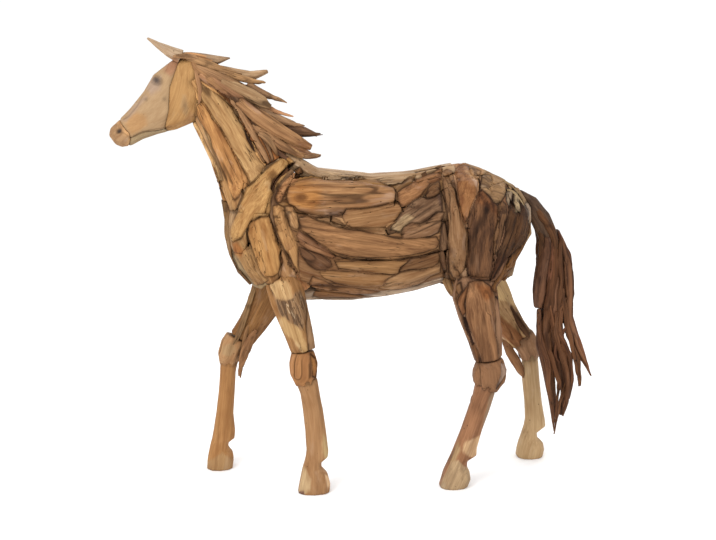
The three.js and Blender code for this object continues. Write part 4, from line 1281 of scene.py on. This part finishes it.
def laid(skin, rows, lift=0.0):
    """Strips that lie on the body: rows of (x, z, width) in millimetres, seen from the left."""
    out = []
    for colour, row in rows:
        made = []
        for x, z, width in stations(row):
            point, normal = on_left(skin, x / MM, z / MM, lift)
            made.append((point, width / (2 * MM), normal))
        out.append((colour, made))
    return out


THINNEST = 1.5  # millimetres


def free(rows, outward=(0, -1, 0)):
    """Sticks that stand free: rows of (x, y, z, width) in millimetres."""
    return [
        (colour, [(Vector((x, y, z)) / MM, max(width, THINNEST) / (2 * MM), Vector(outward))
                  for x, y, z, width in stations(row)])
        for colour, row in rows
    ]


# A row of a strip or a stick: its colour over its wood and its stations in millimetres, as laid()
# takes them for CREST_STRIPS and PALE_STRIPS and free() for the others.
CREST_STRIPS = [
    ((1.17, 1.19, 1.07),
     [(-494, 1286, 8), (-478, 1264, 26), (-440, 1240, 32), (-402, 1214, 28), (-366, 1182, 8)]),
    ((1.09, 1.1, 1.04),
     [(-490, 1284, 6), (-478, 1240, 13), (-472, 1200, 14), (-478, 1165, 6)]),
]
MANE_SHARDS = [
    ((1.28, 1.41, 1.32),
     [(-509, -26, 1300, 20), (-459, -30, 1283, 26), (-404, -30, 1262, 22), (-349, -26, 1252, 6)]),
    ((1.11, 1.18, 1.15),
     [(-484, -34, 1272, 18), (-434, -40, 1250, 28), (-379, -40, 1225, 28), (-339, -36, 1215, 8)]),
    ((1.21, 1.37, 1.44),
     [(-334, -20, 1222, 20), (-289, -20, 1195, 22), (-249, -16, 1178, 14), (-217, -12, 1165, 3)]),
    ((0.94, 0.92, 0.91),
     [(-444, -42, 1245, 16), (-399, -48, 1215, 26), (-354, -48, 1185, 24), (-319, -44, 1172, 5)]),
    ((1.8, 1.8, 1.8),
     [(-324, -30, 1178, 14), (-274, -30, 1152, 16), (-229, -24, 1134, 10), (-199, -20, 1125, 3)]),
    ((1.28, 1.46, 1.54),
     [(-334, -36, 1160, 16), (-284, -38, 1140, 22), (-224, -30, 1112, 20), (-170, -24, 1099, 3)]),
    ((0.4, 0.4, 0.4),
     [(-389, -46, 1205, 14), (-349, -50, 1160, 24), (-304, -50, 1120, 22), (-274, -46, 1100, 4)]),
    ((0.4, 0.4, 0.4),
     [(-304, -20, 1110, 18), (-254, -20, 1088, 24), (-194, -16, 1075, 20), (-117, -8, 1073, 3)]),
    ((1.5, 1.61, 1.54),
     [(-324, -48, 1100, 16), (-279, -50, 1070, 26), (-234, -46, 1040, 26), (-172, -36, 1006, 3)]),
    ((1.32, 1.5, 1.58),
     [(-244, -20, 1030, 16), (-194, -20, 1012, 20), (-154, -16, 1008, 18), (-122, -12, 1010, 8)]),
    ((0.9, 0.96, 0.91),
     [(-304, -54, 1080, 14), (-272, -56, 1056, 20), (-250, -54, 1012, 6)]),
    ((1.56, 1.58, 1.51),
     [(-254, -30, 1045, 14), (-214, -30, 1040, 20), (-174, -24, 1024, 16), (-142, -20, 1010, 4)]),
    ((1.61, 1.61, 1.42),
     [(-524, -20, 1303, 18), (-484, -26, 1300, 24), (-444, -24, 1292, 20), (-406, -20, 1290, 5)]),
    ((1.33, 1.45, 1.33),
     [(-424, -30, 1262, 14), (-374, -30, 1245, 20), (-324, -26, 1232, 16), (-286, -20, 1228, 4)]),
    ((0.4, 0.4, 0.4),
     [(-364, -40, 1195, 12), (-324, -44, 1150, 18), (-289, -42, 1110, 16), (-266, -38, 1080, 4)]),
    ((0.44, 0.42, 0.45),
     [(-294, -44, 1060, 12), (-259, -46, 1030, 18), (-229, -42, 1008, 14), (-204, -38, 996, 5)]),
    ((1.46, 1.6, 1.59),
     [(-548, -40, 1302, 8), (-530, -42, 1305, 16), (-510, -40, 1305, 19), (-488, -34, 1301, 17),
      (-466, -30, 1292, 6)]),
]
TAIL_ROOTLETS = [
    ((0.79, 0.7, 0.54),
     [(544, -26, 838, 14), (576, -30, 790, 22), (600, -30, 740, 24), (602, -26, 620, 10)]),
    ((0.85, 0.7, 0.54),
     [(596, -26, 745, 20), (602, -30, 690, 30), (596, -30, 600, 34), (582, -28, 480, 30),
      (572, -24, 400, 24), (586, -20, 340, 8)]),
    ((1.22, 1.12, 1.0),
     [(621, -16, 740, 22), (648, -20, 660, 30), (656, -20, 570, 28), (652, -18, 490, 24),
      (684, -14, 402, 18), (718, -8, 340, 12), (734, -4, 303, 3)]),
    ((1.16, 1.03, 0.82),
     [(648, -10, 460, 14), (668, -10, 410, 20), (686, -8, 368, 20), (696, -6, 310, 16),
      (699, -4, 268, 10)]),
    ((1.55, 1.36, 1.18),
     [(628, -24, 560, 20), (618, -26, 480, 28), (632, -24, 410, 26), (652, -20, 350, 24),
      (660, -14, 280, 20), (656, -8, 220, 14), (646, -4, 172, 4)]),
    ((1.55, 1.38, 1.13),
     [(592, -22, 500, 16), (586, -24, 430, 24), (592, -22, 360, 24), (600, -18, 300, 20),
      (612, -12, 240, 14), (616, -8, 172, 4)]),
    ((0.88, 0.75, 0.6),
     [(636, -30, 560, 12), (618, -32, 480, 18), (636, -30, 410, 16), (654, -26, 350, 8)]),
    ((1.52, 1.38, 1.13),
     [(660, -14, 300, 10), (648, -11, 264, 14), (636, -6, 220, 12), (628, -4, 160, 8),
      (622, -2, 113, 3)]),
    ((0.93, 0.84, 0.62),
     [(556, -20, 770, 14), (566, -24, 700, 22), (562, -26, 620, 24), (556, -22, 560, 16),
      (558, -18, 528, 4)]),
    ((0.99, 0.88, 0.76),
     [(596, 24, 745, 20), (602, 28, 690, 28), (596, 28, 600, 32), (588, 26, 480, 28),
      (580, 22, 400, 20), (592, 18, 340, 8)]),
    ((0.99, 0.88, 0.76),
     [(556, 18, 770, 14), (570, 24, 700, 24), (568, 24, 620, 26), (562, 20, 560, 16),
      (562, 16, 528, 4)]),
    ((0.99, 0.88, 0.76),
     [(624, 22, 600, 18), (616, 26, 500, 28), (628, 24, 410, 26), (646, 18, 330, 20),
      (652, 12, 250, 12), (646, 8, 190, 4)]),
    ((0.99, 0.88, 0.76),
     [(592, 22, 490, 16), (588, 22, 420, 22), (596, 20, 350, 20), (608, 14, 280, 14),
      (618, 8, 210, 4)]),
    ((0.91, 0.78, 0.67),
     [(555, -38, 528, 10), (554, -38, 472, 18), (563, -38, 416, 20), (581, -38, 373, 18),
      (590, -38, 331, 16), (587, -38, 283, 15), (599, -38, 231, 12), (607, -38, 183, 5)]),
    ((0.82, 0.69, 0.55),
     [(577, -38, 523, 10), (575, -38, 453, 18), (586, -38, 397, 17), (608, -38, 339, 15),
      (625, -38, 292, 14), (619, -38, 235, 11), (618, -38, 178, 8), (612, -38, 125, 3)]),
    ((1.02, 0.88, 0.71),
     [(611, -38, 517, 10), (606, -38, 452, 18), (623, -38, 396, 18), (644, -38, 338, 18),
      (653, -38, 281, 17), (650, -38, 224, 14), (639, -38, 185, 6)]),
    ((0.99, 0.86, 0.68),
     [(629, -32, 590, 8), (640, -32, 506, 17), (650, -32, 450, 17), (669, -32, 393, 16),
      (681, -32, 336, 14), (691, -32, 277, 7)]),
    ((1.05, 0.89, 0.74),
     [(589, -32, 628, 8), (586, -32, 545, 18), (603, -32, 470, 18), (635, -32, 422, 17),
      (659, -32, 374, 16), (665, -32, 298, 15), (657, -32, 237, 8)]),
    ((0.93, 0.76, 0.67),
     [(651, -32, 478, 6), (623, -32, 432, 13), (610, -32, 385, 12), (625, -32, 352, 5)]),
    ((1.01, 0.81, 0.76),
     [(600, -32, 756, 6), (595, -32, 701, 20), (591, -32, 637, 20), (582, -32, 563, 14),
      (579, -32, 522, 5)]),
    ((0.59, 0.5, 0.4),
     [(621, -32, 746, 6), (616, -32, 692, 16), (623, -32, 618, 18), (616, -32, 544, 16),
      (613, -32, 497, 6)]),
]
PALE_STRIPS = [
    ((0.52, 0.56, 0.56),
     [(408, 940, 5), (446, 920, 12), (478, 890, 12), (492, 860, 5)]),
    ((0.52, 0.56, 0.56),
     [(436, 905, 5), (464, 890, 10), (484, 862, 8), (490, 840, 4)]),
]
FAR_STRIPS = [
    ((1.07, 1.25, 1.18),
     [(-314, 96, 590, 12), (-334, 94, 540, 18), (-360, 94, 460, 18), (-386, 96, 405, 8)]),
    ((0.85, 0.85, 0.75),
     [(-334, 98, 470, 8), (-349, 98, 420, 14), (-356, 100, 360, 12), (-364, 104, 300, 4)]),
    ((1.68, 1.94, 1.78),
     [(252, -60, 655, 18), (264, -66, 615, 26), (280, -84, 575, 5)]),
    ((1.58, 1.87, 2.13),
     [(296, -112, 712, 14), (302, -116, 672, 30), (306, -116, 632, 20)]),
    ((0.45, 0.42, 0.4),
     [(471, 90, 535, 8), (501, 90, 490, 20), (536, 92, 440, 22), (558, 96, 405, 8)]),
    ((1.09, 1.07, 0.97),
     [(-313, 90, 455, 10), (-332, 90, 424, 30), (-348, 90, 386, 30), (-361, 90, 348, 20),
      (-368, 90, 309, 6)]),
    ((1.11, 1.07, 0.99),
     [(493, 118, 460, 12), (484, 118, 414, 26), (491, 118, 371, 30), (511, 118, 338, 34),
      (535, 118, 297, 30), (549, 118, 267, 8)]),
]
RIGHT_STRIPS = [
    ((0.75, 0.72, 0.68),
     [(252, 124, 808, 8), (250, 126, 772, 26), (250, 126, 720, 28), (250, 124, 670, 24),
      (252, 118, 640, 8)]),
    ((0.75, 0.72, 0.68),
     [(-290, 58, 990, 8), (-270, 66, 975, 30), (-250, 72, 958, 32), (-232, 76, 944, 8)]),
]


# ---------------------------------------------------------------- operators
def lean_root(points, normals, moved):
    """The front root of the tail leans back at its top and thins out under the dock."""
    up = smoothstep(0.60, 0.80, points[:, 2])
    out = moved.copy()
    out[:, 0] += 0.020 * up
    out[:, 1] *= 1.0 - 0.5 * smoothstep(0.74, 0.81, points[:, 2])
    return out, np.zeros(len(points)), np.zeros(len(points))


def region(*names):
    """The frame nodes whose names start with one of these."""
    return [n for n in frame["nodes"] if n.startswith(names)]


def body_planks(*names):
    """Weathers a region's planks, the plainer right side in a larger cell."""
    for node in region(*names):
        weathered(node, sizes().far_cell if node.endswith("right") else sizes().plank_cell)


# The head's grain: down the nose, then across it twice.
DOWN_THE_NOSE = ((-0.62, 0.0, -0.78), (-0.78, 0.0, 0.62), (0.0, 1.0, 0.0))


class HORSE_OT_head(bpy.types.Operator):
    """Carved face, cheek, jaw, muzzle and ears"""

    bl_idname = "horse.head"
    bl_label = "Head"

    def execute(self, context):
        cell = sizes().fine_cell
        for node in ("face", "cheek_left", "lower_jaw", "muzzle"):
            weathered(node, cell, turn=DOWN_THE_NOSE, extra=carve_head)
        for node in ("ear_left", "ear_right"):
            weathered(node, sizes().shard_cell)
        return {"FINISHED"}


class HORSE_OT_neck(bpy.types.Operator):
    """Long planks up the neck"""

    bl_idname = "horse.neck"
    bl_label = "Neck"

    def execute(self, context):
        body_planks("neck_", "throat_")
        return {"FINISHED"}


class HORSE_OT_mane(bpy.types.Operator):
    """Pointed shards along the crest"""

    bl_idname = "horse.mane"
    bl_label = "Mane"

    def execute(self, context):
        for node in region("mane_"):
            weathered(node, sizes().shard_cell)
        left = free(MANE_SHARDS)
        across = [(tone, [(x + 8, -y, z - 5, width) for x, y, z, width in row])
                  for tone, row in MANE_SHARDS[1::2]]
        right = free(across, (0, 1, 0))
        sticks("mane_shards", "brown_wood", left + right, 0.55)
        return {"FINISHED"}


class HORSE_OT_shoulders(bpy.types.Operator):
    """Chest, shoulders, elbow and girth"""

    bl_idname = "horse.shoulders"
    bl_label = "Shoulders"

    def execute(self, context):
        body_planks("shoulder", "chest", "breast", "elbow", "girth")
        return {"FINISHED"}


class HORSE_OT_barrel(bpy.types.Operator):
    """Planks round the barrel, back and belly"""

    bl_idname = "horse.barrel"
    bl_label = "Barrel"

    def execute(self, context):
        body_planks("barrel_", "back_", "belly_")
        skin = body_skin()
        sticks("crest_strips", "brown_wood", laid(skin, CREST_STRIPS, lift=0.001), 0.4)
        sticks("croup_strips", "pale_wood", laid(skin, PALE_STRIPS), 0.5)
        sticks("far_leg_strips", "brown_wood", free(FAR_STRIPS), 0.5)
        sticks("right_joint_strips", "brown_wood", free(RIGHT_STRIPS, (0, 1, 0)), 0.5)
        return {"FINISHED"}


class HORSE_OT_haunches(bpy.types.Operator):
    """Flank, hip, thighs, buttocks and croup"""

    bl_idname = "horse.haunches"
    bl_label = "Haunches"

    def execute(self, context):
        body_planks("flank", "hip", "thigh", "hamstring", "buttock", "croup")
        return {"FINISHED"}


class HORSE_OT_legs(bpy.types.Operator):
    """Upper legs, knees and hocks, and the carved lower legs with their hooves"""

    bl_idname = "horse.legs"
    bl_label = "Legs"

    def execute(self, context):
        for node in region("forearm", "gaskin", "knee", "hock", "fore_", "hind_"):
            upper = node.startswith(("forearm", "gaskin"))
            weathered(node, sizes().plank_cell if upper else sizes().fine_cell)
        return {"FINISHED"}


class HORSE_OT_tail(bpy.types.Operator):
    """Thick root of the tail and its hanging roots"""

    bl_idname = "horse.tail"
    bl_label = "Tail"

    def execute(self, context):
        for node in region("tail_"):
            lean = lean_root if node == "tail_front_root" else None
            weathered(node, sizes().fine_cell, extra=lean)
        sticks("tail_rootlets", "dark_wood", free(TAIL_ROOTLETS), 0.7, 0.003)
        return {"FINISHED"}


FLOOR_HALF = 30.0
# Each lamp's name, place, aim, width in metres and power in watts.
LAMPS = (
    ("key", (-2.6, -3.4, 3.6), (0, 0, 0.7), 2.6, 160.0),
    ("fill", (3.4, -3.0, 1.6), (0.2, 0, 0.7), 3.0, 22.0),
    ("rim", (1.5, 3.2, 3.4), (0, 0, 0.8), 2.4, 45.0),
)
SENSOR_WIDTH = 36.0
LENS = 71.6
CAMERA_PLACE = (-0.502, -4.241, 1.45)
CAMERA_AIM = (-0.004, 0.0, 0.655)


class HORSE_OT_stage(bpy.types.Operator):
    """Floor, soft light and camera"""

    bl_idname = "horse.stage"
    bl_label = "Stage"

    def execute(self, context):
        scene = context.scene
        mesh = bpy.data.meshes.new("floor")
        around = ((-1, -1), (1, -1), (1, 1), (-1, 1))
        corners = [(x * FLOOR_HALF, y * FLOOR_HALF, 0) for x, y in around]
        mesh.from_pydata(corners, [], [(0, 1, 2, 3)])
        floor = link("floor", mesh)
        material = bpy.data.materials.new("pale floor")
        material.use_nodes = True
        shader = material.node_tree.nodes["Principled BSDF"]
        shader.inputs["Base Color"].default_value = (0.98, 0.98, 0.98, 1.0)
        shader.inputs["Roughness"].default_value = 0.9
        shader.inputs["Specular IOR Level"].default_value = 0.1
        mesh.materials.append(material)
        world = bpy.data.worlds.new("studio")
        world.use_nodes = True
        world.node_tree.nodes["Background"].inputs["Color"].default_value = (1.0, 1.0, 1.0, 1.0)
        world.node_tree.nodes["Background"].inputs["Strength"].default_value = 1.05
        scene.world = world
        for label, place, aim, width, power in LAMPS:
            lamp = bpy.data.lights.new(label, "AREA")
            lamp.size = width
            lamp.energy = power
            obj = bpy.data.objects.new(label, lamp)
            scene.collection.objects.link(obj)
            obj.location = place
            obj.rotation_euler = (Vector(aim) - Vector(place)).to_track_quat("-Z", "Y").to_euler()
        data = bpy.data.cameras.new("camera")
        data.sensor_width = SENSOR_WIDTH
        data.lens = LENS
        camera = bpy.data.objects.new("camera", data)
        scene.collection.objects.link(camera)
        camera.location = CAMERA_PLACE
        gaze = Vector(CAMERA_AIM) - camera.location
        camera.rotation_euler = gaze.to_track_quat("-Z", "Y").to_euler()
        scene.camera = camera
        scene.view_settings.view_transform = "Standard"
        return {"FINISHED"}


class HORSE_PT_panel(bpy.types.Panel):
    """The build steps in order"""

    bl_label = "Driftwood Horse"
    bl_idname = "HORSE_PT_panel"
    bl_space_type = "VIEW_3D"
    bl_region_type = "UI"
    bl_category = "Driftwood Horse"

    def draw(self, context):
        for step in STEPS:
            self.layout.operator(step.bl_idname)
        for name in HorseSizes.__annotations__:
            self.layout.prop(context.scene.horse_sizes, name)
        for name in HorseColours.__annotations__:
            self.layout.prop(context.scene.horse_colours, name)


STEPS = [
    HORSE_OT_head, HORSE_OT_neck, HORSE_OT_mane, HORSE_OT_shoulders, HORSE_OT_barrel,
    HORSE_OT_haunches, HORSE_OT_legs, HORSE_OT_tail, HORSE_OT_stage,
]
CLASSES = [HorseSizes, HorseColours, *STEPS, HORSE_PT_panel]


def register():
    for made in CLASSES:
        bpy.utils.register_class(made)
    bpy.types.Scene.horse_sizes = bpy.props.PointerProperty(type=HorseSizes)
    bpy.types.Scene.horse_colours = bpy.props.PointerProperty(type=HorseColours)


def unregister():
    del bpy.types.Scene.horse_colours
    del bpy.types.Scene.horse_sizes
    for made in reversed(CLASSES):
        bpy.utils.unregister_class(made)


def main():
    register()
    for step in STEPS:
        group, name = step.bl_idname.split(".")
        getattr(getattr(bpy.ops, group), name)()


if __name__ == "__main__":
    main()
